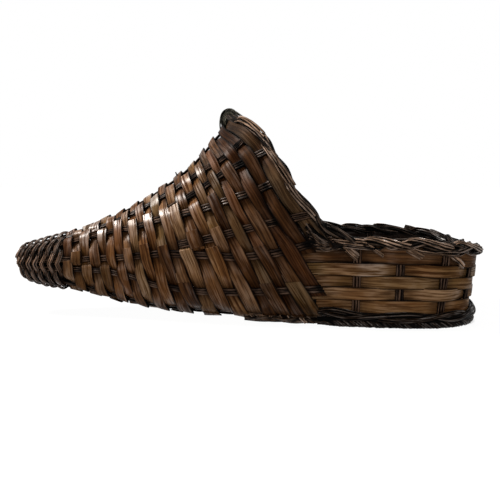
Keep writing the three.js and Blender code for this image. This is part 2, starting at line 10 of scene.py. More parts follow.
import bpy
import numpy as np
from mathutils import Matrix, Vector


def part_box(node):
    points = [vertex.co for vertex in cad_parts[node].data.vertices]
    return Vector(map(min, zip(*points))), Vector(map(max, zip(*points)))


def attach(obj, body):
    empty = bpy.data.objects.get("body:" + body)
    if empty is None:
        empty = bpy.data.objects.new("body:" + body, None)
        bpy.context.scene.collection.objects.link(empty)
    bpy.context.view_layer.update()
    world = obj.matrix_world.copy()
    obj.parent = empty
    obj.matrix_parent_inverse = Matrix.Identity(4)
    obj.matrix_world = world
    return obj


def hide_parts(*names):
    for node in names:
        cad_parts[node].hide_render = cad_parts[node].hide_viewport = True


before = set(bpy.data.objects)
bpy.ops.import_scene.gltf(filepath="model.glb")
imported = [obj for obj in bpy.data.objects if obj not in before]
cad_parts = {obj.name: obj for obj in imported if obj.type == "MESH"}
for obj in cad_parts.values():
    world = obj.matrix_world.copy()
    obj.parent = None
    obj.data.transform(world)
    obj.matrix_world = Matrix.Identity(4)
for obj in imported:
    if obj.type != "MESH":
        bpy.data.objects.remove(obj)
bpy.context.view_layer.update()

Piece = bpy.types.Object
Array = np.ndarray
Pair = tuple[float, float]
LOG = logging.getLogger("cornucopia")
MM = 0.001
TURN = 2 * math.pi
UP = Vector((0, 0, 1))
UP_ARRAY = np.array((0.0, 0.0, 1.0))
LAY_MAP = "lay"
# The columns of a flat strip, from one edge to the other
ACROSS = (-1.0, -0.9, -0.45, 0.0, 0.45, 0.9, 1.0)


class Slot(Enum):
    """The record's material slots."""

    STRIP = "strip"
    CANE = "cane"
    BORDER = "border"
    FOOT = "foot"
    FINE_CANE = "fine_cane"


class Side(IntEnum):
    """The basket's two sides, by the sign of y."""

    NEAR = -1
    FAR = 1


class Nook(Enum):
    """Where a cane gets painted shade because others lie against it."""

    NONE = 0
    BEHIND = 1
    BESIDE = 2


def smooth(t: float) -> float:
    """Ease from 0 to 1, level at both ends."""
    x = min(max(t, 0.0), 1.0)
    return x * x * (3 - 2 * x)


def ramp(value: float, start: float, end: float) -> float:
    """Ease from 0 at the start to 1 at the end, which may be the lower one."""
    return smooth((value - start) / (end - start))


def lerp(a: float, b: float, t: float) -> float:
    """The number at share t of the way from a to b."""
    return a + (b - a) * t


def steps(first: float, last: float, count: int) -> list[float]:
    """Return numbers from the first to the last in equal steps."""
    return [lerp(first, last, i / count) for i in range(count + 1)]


def side_by_side(count: int) -> list[float]:
    """Return the places of canes that lie side by side, in spacings from their middle."""
    return [k - (count - 1) / 2 for k in range(count)]


def solve(function: Callable[[float], float], value: float, low: float, high: float) -> float:
    """Find where a rising or falling function reaches a value.

    Args:
        function: The function of one number.
        value: The value it should have.
        low: The lowest place to look at.
        high: The highest place to look at.

    Returns:
        The place, to the precision of 40 halvings.
    """
    rising = function(high) > function(low)
    for _ in range(40):
        middle = (low + high) / 2
        if (function(middle) < value) == rising:
            low = middle
        else:
            high = middle
    return (low + high) / 2


def unit(rows: Array) -> Array:
    """Return vectors at length 1."""
    return rows / np.linalg.norm(rows, axis=-1, keepdims=True)


def square_to(along: Array, rows: Array) -> Array:
    """Return vectors turned square to given directions, at length 1."""
    return unit(rows - along * np.sum(rows * along, axis=-1, keepdims=True))


def ahead_of(points: Array, closed: bool = False) -> Array:
    """Return the direction of a line at each of its points."""
    return unit(np.roll(points, -1, 0) - np.roll(points, 1, 0) if closed else np.gradient(points, axis=0))


def around(first: Array, second: Array, angle: Array) -> Array:
    """Return steps away from a line, at angles round it from a first direction to a second one."""
    return first * np.cos(angle)[:, None] + second * np.sin(angle)[:, None]


def lengths_along(points: Array) -> Array:
    """Return the length from the first point to each."""
    return np.concatenate(([0.0], np.cumsum(np.linalg.norm(np.diff(points, axis=0), axis=1))))


def evenly(line: Array, count: int, closed: bool = False) -> Array:
    """Return points at equal lengths along a line.

    Args:
        line: The line's own points.
        count: How many points to return.
        closed: Whether the line comes back to its start, which is then returned once.

    Returns:
        The points.
    """
    run = lengths_along(line)
    places = np.linspace(0, run[-1], count, endpoint=not closed)
    return np.stack([np.interp(places, run, line[:, k]) for k in range(3)], axis=1)


def passage(start: Pair, end: Pair, count: int,
            ease: Callable[[float], float] = smooth) -> list[Pair]:
    """Return a strip's stops between two others, given as degrees and how far out, on an eased way out."""
    shares = [k / (count + 1) for k in range(1, count + 1)]
    return [(lerp(start[0], end[0], t), lerp(start[1], end[1], ease(t))) for t in shares]


class Curve:
    """A smooth line through pairs of place and value that never overshoots them."""

    def __init__(self, pairs: Sequence[Pair]) -> None:
        """Keep the pairs and work out the slope at each.

        Args:
            pairs: Places in rising order, each with its value.
        """
        self.places = [float(place) for place, _ in pairs]
        self.values = [float(value) for _, value in pairs]
        rises = [(self.values[i + 1] - self.values[i]) / (self.places[i + 1] - self.places[i])
                 for i in range(len(pairs) - 1)]
        inner = [0.0 if a * b <= 0 else 2 * a * b / (a + b) for a, b in zip(rises, rises[1:])]
        self.slopes = [rises[0], *inner, rises[-1]]

    def __call__(self, x: float) -> float:
        """Return the value at a place.

        Args:
            x: The place.

        Returns:
            The value there, in a straight line before the first pair.
        """
        if x <= self.places[0]:
            return self.values[0] + (x - self.places[0]) * self.slopes[0]
        i = 0
        while i < len(self.places) - 2 and x > self.places[i + 1]:
            i += 1
        width = self.places[i + 1] - self.places[i]
        t = (x - self.places[i]) / width
        return ((2 * t**3 - 3 * t**2 + 1) * self.values[i]
                + (t**3 - 2 * t**2 + t) * self.slopes[i] * width
                + (3 * t**2 - 2 * t**3) * self.values[i + 1]
                + (t**3 - t**2) * self.slopes[i + 1] * width)


@dataclass(frozen=True)
class Weave:
    """Sizes that all woven parts share, in millimetres."""

    cane: float = 2.6
    strip: float = 1.0
    clearance: float = 0.3
    rest: float = 1.3
    laid_rest: float = 0.52

    @property
    def offset(self) -> float:
        """How far a strip's middle passes outside or inside the ribs' middle."""
        return self.cane / 2 + self.clearance + self.strip / 2

    def depth(self, level: float) -> float:
        """Return the painted shade of a strip where it passes inside, from its place in or out in offsets."""
        return smooth(-0.3 - level * 1.2)


WEAVE = Weave()


class HornForm:
    """The horn's middle surface, by weaving row and by degrees round it, in millimetres."""

    # Row, then the top and bottom of its plane, its half width and how square its lower half is
    STATIONS = (
        (-8, -232, 58, -232, 45, 7, 2), (-6.4, -225, 65, -225, 37, 14, 2),
        (-4, -209, 70, -208, 30.3, 19.8, 2), (0, -177.6, 78.8, -174.4, 24.5, 27.5, 2),
        (4, -143.5, 91.4, -134, 15, 39.2, 2), (8, -114.3, 105.6, -95, 7, 52.6, 2.25),
        (12, -86, 122.8, -50, 3.4, 64.8, 2.7), (16, -57, 145, 8, 2.4, 76, 4.2),
        (20, -37, 167.5, 61, 2.25, 84, 6), (22, -28.5, 178, 89, 2.25, 87, 6),
        (24.4, -19, 196, 135, 2.25, 91, 6),
    )
    LAST_ROW = 23
    LAST_FULL_ROW = 20
    TRAY_START_X = 57.0
    # A small turn, in radians, over which a ring's direction is read
    NUDGE = 1e-4

    def __init__(self) -> None:
        """Draw a curve along the rows for each measure of a station."""
        rows, *measures = zip(*self.STATIONS)
        self.curves = [Curve(list(zip(rows, values))) for values in measures]
        self.known: dict[float, tuple[float, ...]] = {}

    def section(self, row: float) -> tuple[float, ...]:
        """Return the measures of a row, which are worked out once.

        Args:
            row: Place along the horn, in weaving rows.

        Returns:
            Its top x and z, bottom x and z, half width and squareness.
        """
        key = round(row, 5)
        if key not in self.known:
            self.known[key] = tuple(curve(row) for curve in self.curves)
        return self.known[key]

    @staticmethod
    def ring(angle: float, height: float, half: float, square: float) -> Pair:
        """Return a point of a ring that is round above and squarer below.

        Args:
            angle: Place round the ring, in radians.
            height: Half the ring's height.
            half: Half the ring's width.
            square: How square the lower half is, 2 for round.

        Returns:
            The place across and up.
        """
        c, s = math.cos(angle), math.sin(angle)
        power = 2.0 if s >= 0 else square
        reach = (abs(c) ** power + abs(s) ** power) ** (-1 / power)
        return half * reach * c, height * reach * s

    def point(self, row: float, degrees: float, out: float = 0.0) -> Vector:
        """Return a point of the horn.

        Args:
            row: Place along the horn, in weaving rows.
            degrees: Place round it: 90 is the top and 0 the near side.
            out: How far out from the middle surface.

        Returns:
            The point, in the maker's own millimetres.
        """
        top_x, top_z, bottom_x, bottom_z, half, square = self.section(row)
        angle = math.radians(degrees)
        height = math.hypot(top_x - bottom_x, top_z - bottom_z) / 2
        lean_x = (top_x - bottom_x) / 2 / height
        lean_z = (top_z - bottom_z) / 2 / height
        x, y = self.ring(angle, height, half, square)
        if out:
            x1, y1 = self.ring(angle + self.NUDGE, height, half, square)
            x0, y0 = self.ring(angle - self.NUDGE, height, half, square)
            size = math.hypot(x1 - x0, y1 - y0)
            x += out * (y1 - y0) / size
            y -= out * (x1 - x0) / size
        z = (top_z + bottom_z) / 2 + lean_z * y
        return Vector(((top_x + bottom_x) / 2 + lean_x * y, -x, max(0.0, z)))

    def degrees_for(self, row: float, degrees: float, length: float) -> float:
        """Return the degrees round the horn that cover a length there."""
        span = (self.point(row, degrees + 0.5) - self.point(row, degrees - 0.5)).length
        return length / span

    def frame_at(self, row: float, degrees: float) -> tuple[Vector, Vector, Vector]:
        """Return a point of the horn and its directions.

        Args:
            row: Place along the horn, in weaving rows.
            degrees: Place round it.

        Returns:
            The point, the direction round the horn and the outward direction.
        """
        centre = self.point(row, degrees)
        side = (self.point(row, degrees + 0.5) - self.point(row, degrees - 0.5)).normalized()
        return centre, side, (self.point(row, degrees, 1.0) - centre).normalized()


HORN = HornForm()


@dataclass(frozen=True)
class Rib:
    """One rib of the horn: where it runs, by row."""

    name: str
    start: float
    angles: Curve
    index: int
    far: bool = False

    def angle(self, row: float) -> float:
        """Return the rib's degrees round the horn at a row."""
        return 180 - self.angles(row) if self.far else self.angles(row)


class RibPlan:
    """All ribs in order round the horn: the bottom, the near side, the top and the far side."""

    TIP_ROW = -7.6
    LOW_ROW = -4.0
    ADDED_ROW = 12.55
    # Each rib of a side, from below: the row where it starts, then rows with its degrees round the horn
    SIDES = (
        (LOW_ROW, ((-8, -48), (0, -52), (4, -62), (8, -66), (12, -65), (16, -60), (20, -60))),
        (TIP_ROW, ((-8, -12), (0, -11.5), (3, -11), (5, -13), (7, -17), (9, -25), (11, -29), (13, -31.5),
                   (21, -32))),
        (TIP_ROW, ((-8, 12), (-3, 8.5), (2, 7.5), (10, 5), (12, 1.5), (15, -6), (17, -10), (20, -12),
                   (23, -11))),
        (ADDED_ROW, ((12, 9), (15, 7), (20, 5), (25, 2))),
        (TIP_ROW, ((-8, 38), (-4, 44), (1, 47), (5.5, 44), (8, 38.5), (11, 36.5), (13, 33), (16, 28),
                   (20, 24), (25, 21))),
        (ADDED_ROW, ((12, 41.5), (15, 44), (19, 43), (21.5, 41), (25, 36))),
        (TIP_ROW, ((-8, 66), (0, 66), (4, 63.5), (14, 62), (17, 59), (20, 53), (25, 51))),
    )
    FULL_WIDTH_ROW = 14.0
    WIDTHS = Curve(((-8, 2.4), (-6, 2.6), (-4, 3.8), (0, 5.2), (8, 6.6), (FULL_WIDTH_ROW, 7.8)))

    def __init__(self) -> None:
        """List the ribs."""
        sides = [(f"{i + 1}", start, Curve(angles)) for i, (start, angles) in enumerate(self.SIDES)]
        bottom, top = (Curve(((0, degrees), (1, degrees))) for degrees in (-90, 90))
        found = [("rib_bottom", self.TIP_ROW, bottom, False)]
        found += [(f"rib_near_{n}", start, angles, False) for n, start, angles in sides]
        found += [("rib_top", self.TIP_ROW, top, False)]
        found += [(f"rib_far_{n}", start, angles, True) for n, start, angles in reversed(sides)]
        self.ribs = [Rib(name, start, angles, i, far) for i, (name, start, angles, far) in enumerate(found)]

    def width(self, row: float) -> float:
        """Return the width of a rib's bundle at a row."""
        return self.WIDTHS(min(row, self.FULL_WIDTH_ROW))

    def present(self, row: float) -> list[Rib]:
        """Return the ribs that have started before a row."""
        return [rib for rib in self.ribs if rib.start < row]

    def crossed(self, row: int) -> list[Rib]:
        """Return the ribs that a row crosses: the last rows stop where the tray's wall starts."""
        return [rib for rib in self.present(row) if row <= HORN.LAST_FULL_ROW
                or HORN.point(row, rib.angle(row)).x <= HORN.TRAY_START_X]

    def outside(self, row: int, rib: Rib) -> bool:
        """Say whether a row's strip passes outside a rib."""
        return (row + self.present(row).index(rib)) % 2 == 0

    def beat(self, row: float, rib: Rib) -> float:
        """Return 1 where strips lie on a rib, -1 where they pass behind it, and what is between."""
        return math.cos(math.pi * (row + self.present(max(row, rib.start + 0.01)).index(rib)))


RIBS = RibPlan()


class TrayForm:
    """The tray's wall, rim and floor, in millimetres."""

    CENTRE_X = 150.0
    LENGTH = 58.0
    HALF = 86.0
    SQUARE = 2.7
    FLARE = 10.0
    TUCK_LENGTH = 14.0
    TUCK_INSET = 8.0
    LOWEST_STRIP_X = 60.5
    SQUARE_BELOW = 22.0
    RIM_FRONT_Z = 66.0
    RIM_SIDE_Z = 76.3
    RIM_LEVEL = 110.0
    UPPER_WALL_Z = 60.0
    ROPE_RADIUS = 5.75
    STAKE_IN_ROPE = 1.5
    FOOT_BUNDLE = 6.8
    FOOT_WIDTH = 6.0
    FOOT_CLEARANCE = 0.7
    FOOT_ANGLE = 149.0
    FOOT_HEIGHT = 13.9
    CROSS_ANGLES = (126.0, 101.0, 70.0, 45.0)
    FRONT_ANGLE = 24.0
    STAKE_WIDTH = 7.8
    ROWS = 5
    ROW_GAP = 0.8
    FLOOR_Z = 2.9
    FLOOR_EASE = 16.0
    BEND = 6.5
    CROSS_BEND = 8.0
    BEND_SHARE = 1 / 3

    def horn_half_at(self, x: float, z: float) -> float:
        """Return the horn's half width at a place.

        Args:
            x: Place along the basket.
            z: Height.

        Returns:
            The half width where the horn's surface has this x and z.
        """
        def plane_x(row: float) -> float:
            """Return the x of a row's plane at the height z."""
            top_x, top_z, bottom_x, bottom_z, _, _ = HORN.section(row)
            return bottom_x + (z - bottom_z) / (top_z - bottom_z) * (top_x - bottom_x)

        row = solve(plane_x, x, 0, HORN.STATIONS[-1][0])
        _, top_z, _, bottom_z, half, square = HORN.section(row)
        level = min(max((z - (top_z + bottom_z) / 2) / ((top_z - bottom_z) / 2), -1.0), 1.0)
        power = 2.0 if level >= 0 else square
        return half * (1 - abs(level) ** power) ** (1 / power)

    def plan(self, degrees: float, z: float) -> Pair:
        """Return the wall's place at a height.

        Args:
            degrees: Place round the oval: 0 is the front, 90 the far side and -90 the near side. Past
                these the wall runs on straight, beside the horn.
            z: Height.

        Returns:
            The wall's x and y there.
        """
        flare = self.FLARE * z / self.RIM_SIDE_Z
        side = -1.0 if degrees < 0 else 1.0
        size = abs(degrees)
        half = self.HALF + flare
        if size <= 90:
            c, s = abs(math.cos(math.radians(size))), math.sin(math.radians(size))
            reach = (c**self.SQUARE + s**self.SQUARE) ** (-1 / self.SQUARE)
            return self.CENTRE_X + (self.LENGTH + flare) * reach * c, side * half * reach * s
        x = self.CENTRE_X - math.radians(size - 90) * self.HALF
        start = self.horn_half_at(min(x, HORN.TRAY_START_X), max(z, self.SQUARE_BELOW)) - self.TUCK_INSET
        return x, side * lerp(start, half, ramp(x, HORN.TRAY_START_X, self.CENTRE_X))

    def wall_frame(self, degrees: float, z: float) -> tuple[Vector, Vector]:
        """Return the wall's level directions at a place.

        Args:
            degrees: Place round the wall.
            z: Height.

        Returns:
            The direction along the wall and the outward direction.
        """
        ax, ay = self.plan(degrees + 0.5, z)
        bx, by = self.plan(degrees - 0.5, z)
        along = Vector((ax - bx, ay - by, 0)).normalized()
        return along, Vector((along.y, -along.x, 0))

    def point(self, degrees: float, z: float, out: float = 0.0) -> Vector:
        """Return a point of the wall, moved outward by a length."""
        return Vector((*self.plan(degrees, z), z)) + self.wall_frame(degrees, z)[1] * out

    def angle_at(self, x: float) -> float:
        """Return the wall's degrees beside the horn, where it has this x."""
        return 90 + math.degrees((self.CENTRE_X - x) / self.HALF)

    def far_angle_at(self, x: float) -> float:
        """Return the upper wall's degrees on the far side, where it has this x."""
        return solve(lambda degrees: self.plan(degrees, self.UPPER_WALL_Z)[0], x, 5, 160)

    def rim_z(self, degrees: float) -> float:
        """Return the height of the rim border's centre line."""
        return lerp(self.RIM_FRONT_Z, self.RIM_SIDE_Z, ramp(abs(degrees), 0, self.RIM_LEVEL))

    def row_edges(self, row: int, degrees: float) -> Pair:
        """Return the heights of a wall row's edges.

        Args:
            row: The row, counted from the top.
            degrees: Place round the wall.

        Returns:
            The lower and the upper edge.
        """
        bottom = self.FOOT_HEIGHT + WEAVE.clearance
        top = self.rim_z(degrees) - self.ROPE_RADIUS - self.ROW_GAP
        pitch = (top - bottom) / self.ROWS
        return top - row * pitch + self.ROW_GAP / 2, top - (row - 1) * pitch - self.ROW_GAP / 2

    def stakes(self) -> list[float]:
        """Return the stakes' angles, from the horn's near side round to its far side."""
        cross = list(self.CROSS_ANGLES)
        return [-a for a in cross] + [-self.FRONT_ANGLE, 0.0, self.FRONT_ANGLE] + cross[::-1]

    def stake_heights(self, degrees: float) -> list[float]:
        """Return where a stake has a joint.

        Args:
            degrees: Place round the wall.

        Returns:
            The heights, from under the rim down to its bend.
        """
        top = self.rim_z(degrees) - self.ROPE_RADIUS + self.STAKE_IN_ROPE
        joints = [self.row_edges(row, degrees)[0] - self.ROW_GAP / 2 for row in range(1, self.ROWS)]
        return [top, *joints, self.FOOT_HEIGHT, self.FOOT_HEIGHT - WEAVE.cane]


TRAY = TrayForm()


def own_shift() -> Vector:
    """Return the move from the maker's own millimetres to the frame's, read off the foot's front."""
    front = TRAY.point(0, TRAY.FOOT_BUNDLE, WEAVE.cane / 2 + TRAY.FOOT_CLEARANCE + TRAY.FOOT_WIDTH)
    return Vector((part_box("foot_border_lower")[1].x / MM - front.x, 0, 0))


SHIFT = own_shift()


def catmull(p: Sequence[Vector], t: float) -> Vector:
    """Return the point at share t between the two middle ones of four, on a centripetal curve.

    Args:
        p: Four points in order.
        t: The share of the way from the second to the third.

    Returns:
        The point.
    """
    gaps = [math.sqrt((b - a).length) for a, b in zip(p, p[1:])]
    middle = gaps[1] or 1.0
    first, final = gaps[0] or middle, gaps[2] or middle
    start = ((p[1] - p[0]) / first - (p[2] - p[0]) / (first + middle) + (p[2] - p[1]) / middle) * middle
    end = ((p[2] - p[1]) / middle - (p[3] - p[1]) / (middle + final) + (p[3] - p[2]) / final) * middle
    return (p[1] * (2 * t**3 - 3 * t**2 + 1) + start * (t**3 - 2 * t**2 + t)
            + p[2] * (3 * t**2 - 2 * t**3) + end * (t**3 - t**2))


@dataclass
class Track:
    """The line that a strip or a bundle of canes follows: its points with side and outward directions."""

    centres: list[Vector] = field(default_factory=list)
    sides: list[Vector] = field(default_factory=list)
    outs: list[Vector] = field(default_factory=list)

    def add(self, centre: Vector, side: Vector, out: Vector) -> None:
        """Add one more point to the line.

        Args:
            centre: The point.
            side: The direction across the bundle there.
            out: The outward direction there.
        """
        self.centres.append(centre.copy())
        self.sides.append(side.normalized())
        self.outs.append(out.normalized())

    def refined(self, step: float) -> "Track":
        """Return the line with a point about every step, on a smooth curve through its own.

        Args:
            step: The length between points, in millimetres.

        Returns:
            The finer line.
        """
        finer = Track()
        last = len(self.centres) - 1
        for i in range(last):
            p = [self.centres[min(max(i + k, 0), last)] for k in (-1, 0, 1, 2)]
            count = max(1, round((p[2] - p[1]).length / step))
            for t in (j / count for j in range(count)):
                finer.add(catmull(p, t), self.sides[i].lerp(self.sides[i + 1], t),
                          self.outs[i].lerp(self.outs[i + 1], t))
        finer.add(self.centres[last], self.sides[last], self.outs[last])
        return finer


def smooth_line(points: Sequence[Sequence[float]], step: float) -> Array:
    """Return closely spaced points on a smooth curve through the given ones.

    Args:
        points: The given points.
        step: The length between points, in millimetres.

    Returns:
        The points, as rows of x, y and z.
    """
    track = Track()
    for point in points:
        track.add(Vector(point), UP, UP)
    return np.array(track.refined(step).centres)


class Bench:
    """The making of strips and canes: a flat grid is laid along computed places and closed to a solid."""

    SOFTENED = 0.28
    SOFTENED_FROM = math.radians(60)
    SMOOTHED_TO = math.radians(38)

    @staticmethod
    def clear() -> None:
        """Deselect everything."""
        bpy.ops.object.select_all(action="DESELECT")

    @staticmethod
    def apply(piece: Piece, kind: str, **settings: object) -> None:
        """Finish a piece with a modifier.

        Args:
            piece: The piece, which is the active object.
            kind: The modifier's type.
            **settings: The modifier's settings.
        """
        modifier = piece.modifiers.new(kind.lower(), kind)
        for key, value in settings.items():
            setattr(modifier, key, value)
        bpy.ops.object.modifier_apply(modifier=modifier.name)

    @classmethod
    def grid(cls, places: Array, lay: Array, marks: dict[str, Array | float]) -> Piece:
        """Lay a flat grid along computed places.

        Args:
            places: Columns by rows of points, in the maker's own millimetres.
            lay: Columns by rows of length along and across, in millimetres.
            marks: Numbers to keep at each point, by name.

        Returns:
            The grid object.
        """
        columns, rows = places.shape[:2]
        cls.clear()
        bpy.ops.mesh.primitive_grid_add(x_subdivisions=columns - 1, y_subdivisions=rows - 1, size=2)
        piece = bpy.context.active_object
        mesh = piece.data
        flat = np.empty(len(mesh.vertices) * 3)
        mesh.vertices.foreach_get("co", flat)
        i, j = (np.rint((flat[axis::3] + 1) / 2 * (count - 1)).astype(int)
                for axis, count in enumerate((columns, rows)))
        mesh.vertices.foreach_set("co", ((places[i, j] + np.array(SHIFT)) * MM).ravel())
        corners = np.empty(len(mesh.loops), dtype=np.int32)
        mesh.loops.foreach_get("vertex_index", corners)
        layer = mesh.uv_layers[0] if mesh.uv_layers else mesh.uv_layers.new()
        layer.name = LAY_MAP
        layer.data.foreach_set("uv", (lay[i, j] * MM)[corners].ravel().astype(np.float32))
        for mark, values in marks.items():
            kept = mesh.attributes.new(mark, "FLOAT", "POINT")
            spread = np.broadcast_to(values, (columns, rows))
            kept.data.foreach_set("value", spread[i, j].astype(np.float32))
        mesh.update()
        return piece

    @classmethod
    def sheet(cls, places: Array, thickness: float, tone: float, depth: Array | float,
              start: float, glint: Array | float = 0.0) -> Piece:
        """Make a flat strip: a grid along its line, thickened, with softened edges.

        Args:
            places: Points along by across.
            thickness: The strip's thickness, in millimetres.
            tone: The strip's own shade, 0 to 1.
            depth: How far each place along lies under others, 0 to 1, which sets its painted shade.
            start: Where its grain starts, in millimetres.
            glint: How polished each place along is, 0 to 1.

        Returns:
            The strip.
        """
        middle = lengths_along(places[:, places.shape[1] // 2])
        width = np.array([lengths_along(line) for line in places])
        lay = np.stack(np.broadcast_arrays((middle + start)[:, None], width - width[:, -1:] / 2), axis=-1)
        marks = {"tone": tone, "depth": np.reshape(depth, (-1, 1)), "glint": np.reshape(glint, (-1, 1)),
                 "edge": np.abs(2 * width / width[:, -1:] - 1)}
        piece = cls.grid(places, lay, marks)
        cls.apply(piece, "SOLIDIFY", thickness=thickness * MM, offset=0)
        cls.apply(piece, "BEVEL", width=thickness * MM * cls.SOFTENED, segments=1, limit_method="ANGLE",
                  angle_limit=cls.SOFTENED_FROM)
        return piece

    @classmethod
    def tube(cls, points: Sequence[Sequence[float]], radii: Array | float, tone: float = 0.0,
             depth: Array | float = 0.0, closed: bool = False, guide: Array | None = None,
             sides: int = 8, start: float = 0.0, nook: Nook = Nook.NONE) -> Piece:
        """Make a round cane along a line.

        Args:
            points: The cane's centre line.
            radii: The cane's radius, or its radius at each point.
            tone: The cane's own shade, 0 to 1.
            depth: How far each place lies under others, 0 to 1, which sets its painted shade.
            closed: Whether the line comes back to its start.
            guide: A direction at each point that the section keeps to.
            sides: How many sides the section has.
            start: Where its grain starts, in millimetres.
            nook: Where it gets painted shade, counted from the guide.

        Returns:
            The cane.
        """
        points = np.array(points)
        radii, depths = (np.broadcast_to(values, (len(points),)) for values in (radii, depth))
        ahead = ahead_of(points, closed)
        if guide is None:
            normal = np.cross(ahead[0], (0.0, 0.3, 1.0) if abs(ahead[0][2]) < 0.9 else (1.0, 0.0, 0.0))
            normals = np.empty_like(points)
            for k, direction in enumerate(ahead):
                normal = square_to(direction, normal)
                normals[k] = normal
        else:
            normals = square_to(ahead, np.array(guide))
        turn = np.linspace(0, TURN, sides + 1)
        section = (np.cos(turn)[None, :, None] * normals[:, None, :]
                   + np.sin(turn)[None, :, None] * np.cross(ahead, normals)[:, None, :])
        places = points[:, None, :] + radii[:, None, None] * section
        run = lengths_along(points)
        if closed:
            places = np.concatenate([places, places[:1]])
            run = np.append(run, run[-1] + np.linalg.norm(points[0] - points[-1]))
            depths = np.append(depths, depths[0])
        lay = np.stack(np.broadcast_arrays((run + start)[:, None], turn * float(np.mean(radii))), axis=-1)
        shade = {Nook.NONE: 0.0, Nook.BEHIND: (1 - np.cos(turn)) / 2, Nook.BESIDE: np.sin(turn) ** 4}[nook]
        piece = cls.grid(places, lay, {"tone": tone, "depth": depths[:, None], "nook": shade})
        bpy.ops.object.mode_set(mode="EDIT")
        bpy.ops.mesh.select_all(action="SELECT")
        bpy.ops.mesh.remove_doubles(threshold=1e-6)
        if not closed:
            bpy.ops.mesh.fill_holes(sides=sides)
        bpy.ops.mesh.select_all(action="SELECT")
        bpy.ops.mesh.normals_make_consistent(inside=False)
        bpy.ops.object.mode_set(mode="OBJECT")
        return piece


@dataclass
class SubAssembly:
    """What all sub-assemblies share: their finish and its slot, and a source of small differences."""

    finish: bpy.types.Material
    slot: Slot = Slot.CANE
    rng: random.Random = field(default_factory=lambda: random.Random(0))
    # The most that a cane of a bundle strays, and the lengths of its two waves
    wobble: float = 0.25
    wobble_waves: Pair = (40.0, 17.0)
    # The length of stained cane that a piece's grain is taken from
    stock: float = 900.0

    def phase(self) -> float:
        """Return a random place in a wave."""
        return self.rng.uniform(0, 7)

    def cane(self, points: Sequence[Sequence[float]], radii: Array | float, low: float = 0.0,
             high: float = 1.0, **how: object) -> Piece:
        """Make a cane of its own grain and of a shade from low to high, with what else a tube takes."""
        tone = self.rng.uniform(low, high)
        return Bench.tube(points, radii, tone, start=self.rng.uniform(0, self.stock), **how)

    def bundle(self, track: Track, canes: int, radius: Array | float, spacing: Array | float,
               depth: Array | float = 0.0) -> list[Piece]:
        """Make round canes that lie side by side along a line.

        Args:
            track: The line that the bundle follows.
            canes: How many canes it has.
            radius: The canes' radius.
            spacing: The canes' spacing.
            depth: How far each place lies under others, 0 to 1, which sets its painted shade.

        Returns:
            The canes.
        """
        centres, sides, outs = (np.array(rows) for rows in (track.centres, track.sides, track.outs))
        run = np.linspace(0, 1, len(centres)) * lengths_along(centres)[-1]
        parts = []
        for offset in side_by_side(canes):
            stray, rise = np.zeros(len(run)), np.zeros(len(run))
            for wave in self.wobble_waves:
                for moved, least, most in ((stray, 0.3, 1), (rise, 0.2, 0.7)):
                    ripple = np.sin(run / wave * TURN + self.phase())
                    moved += ripple * self.wobble * self.rng.uniform(least, most)
            radii = radius * self.rng.uniform(0.92, 1.04)
            points = centres + sides * (offset * spacing + stray * 0.5)[:, None] + outs * rise[:, None]
            parts.append(self.cane(points, radii, depth=depth, guide=outs, nook=Nook.BESIDE))
        return parts

    def place(self, parts: list[Piece], name: str, *nodes: str, slot: Slot | None = None) -> None:
        """Join parts to one piece, dress it and hand it to the frame.

        Args:
            parts: The objects to join.
            name: The name of the piece.
            *nodes: The CAD nodes that the piece stands for.
            slot: Not used.
        """
        Bench.clear()
        for part in parts:
            part.select_set(True)
        piece = parts[0]
        bpy.context.view_layer.objects.active = piece
        if len(parts) > 1:
            bpy.ops.object.join()
        piece.name = name
        bpy.ops.object.shade_smooth_by_angle(angle=Bench.SMOOTHED_TO)
        piece.data.materials.clear()
        piece.data.materials.append(self.finish)
        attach(piece, "root")
        if nodes:
            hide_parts(*nodes)
        LOG.info("%s: %d faces, stands for %s", name, len(piece.data.polygons), ", ".join(nodes) or "nothing")


@dataclass
class StripWork(SubAssembly):
    """What the woven rows and the floor share: flat strips, cut from a long run of reed."""

    slot: Slot = Slot.STRIP
    stock: float = 5000.0
    thickness: float = 0.85


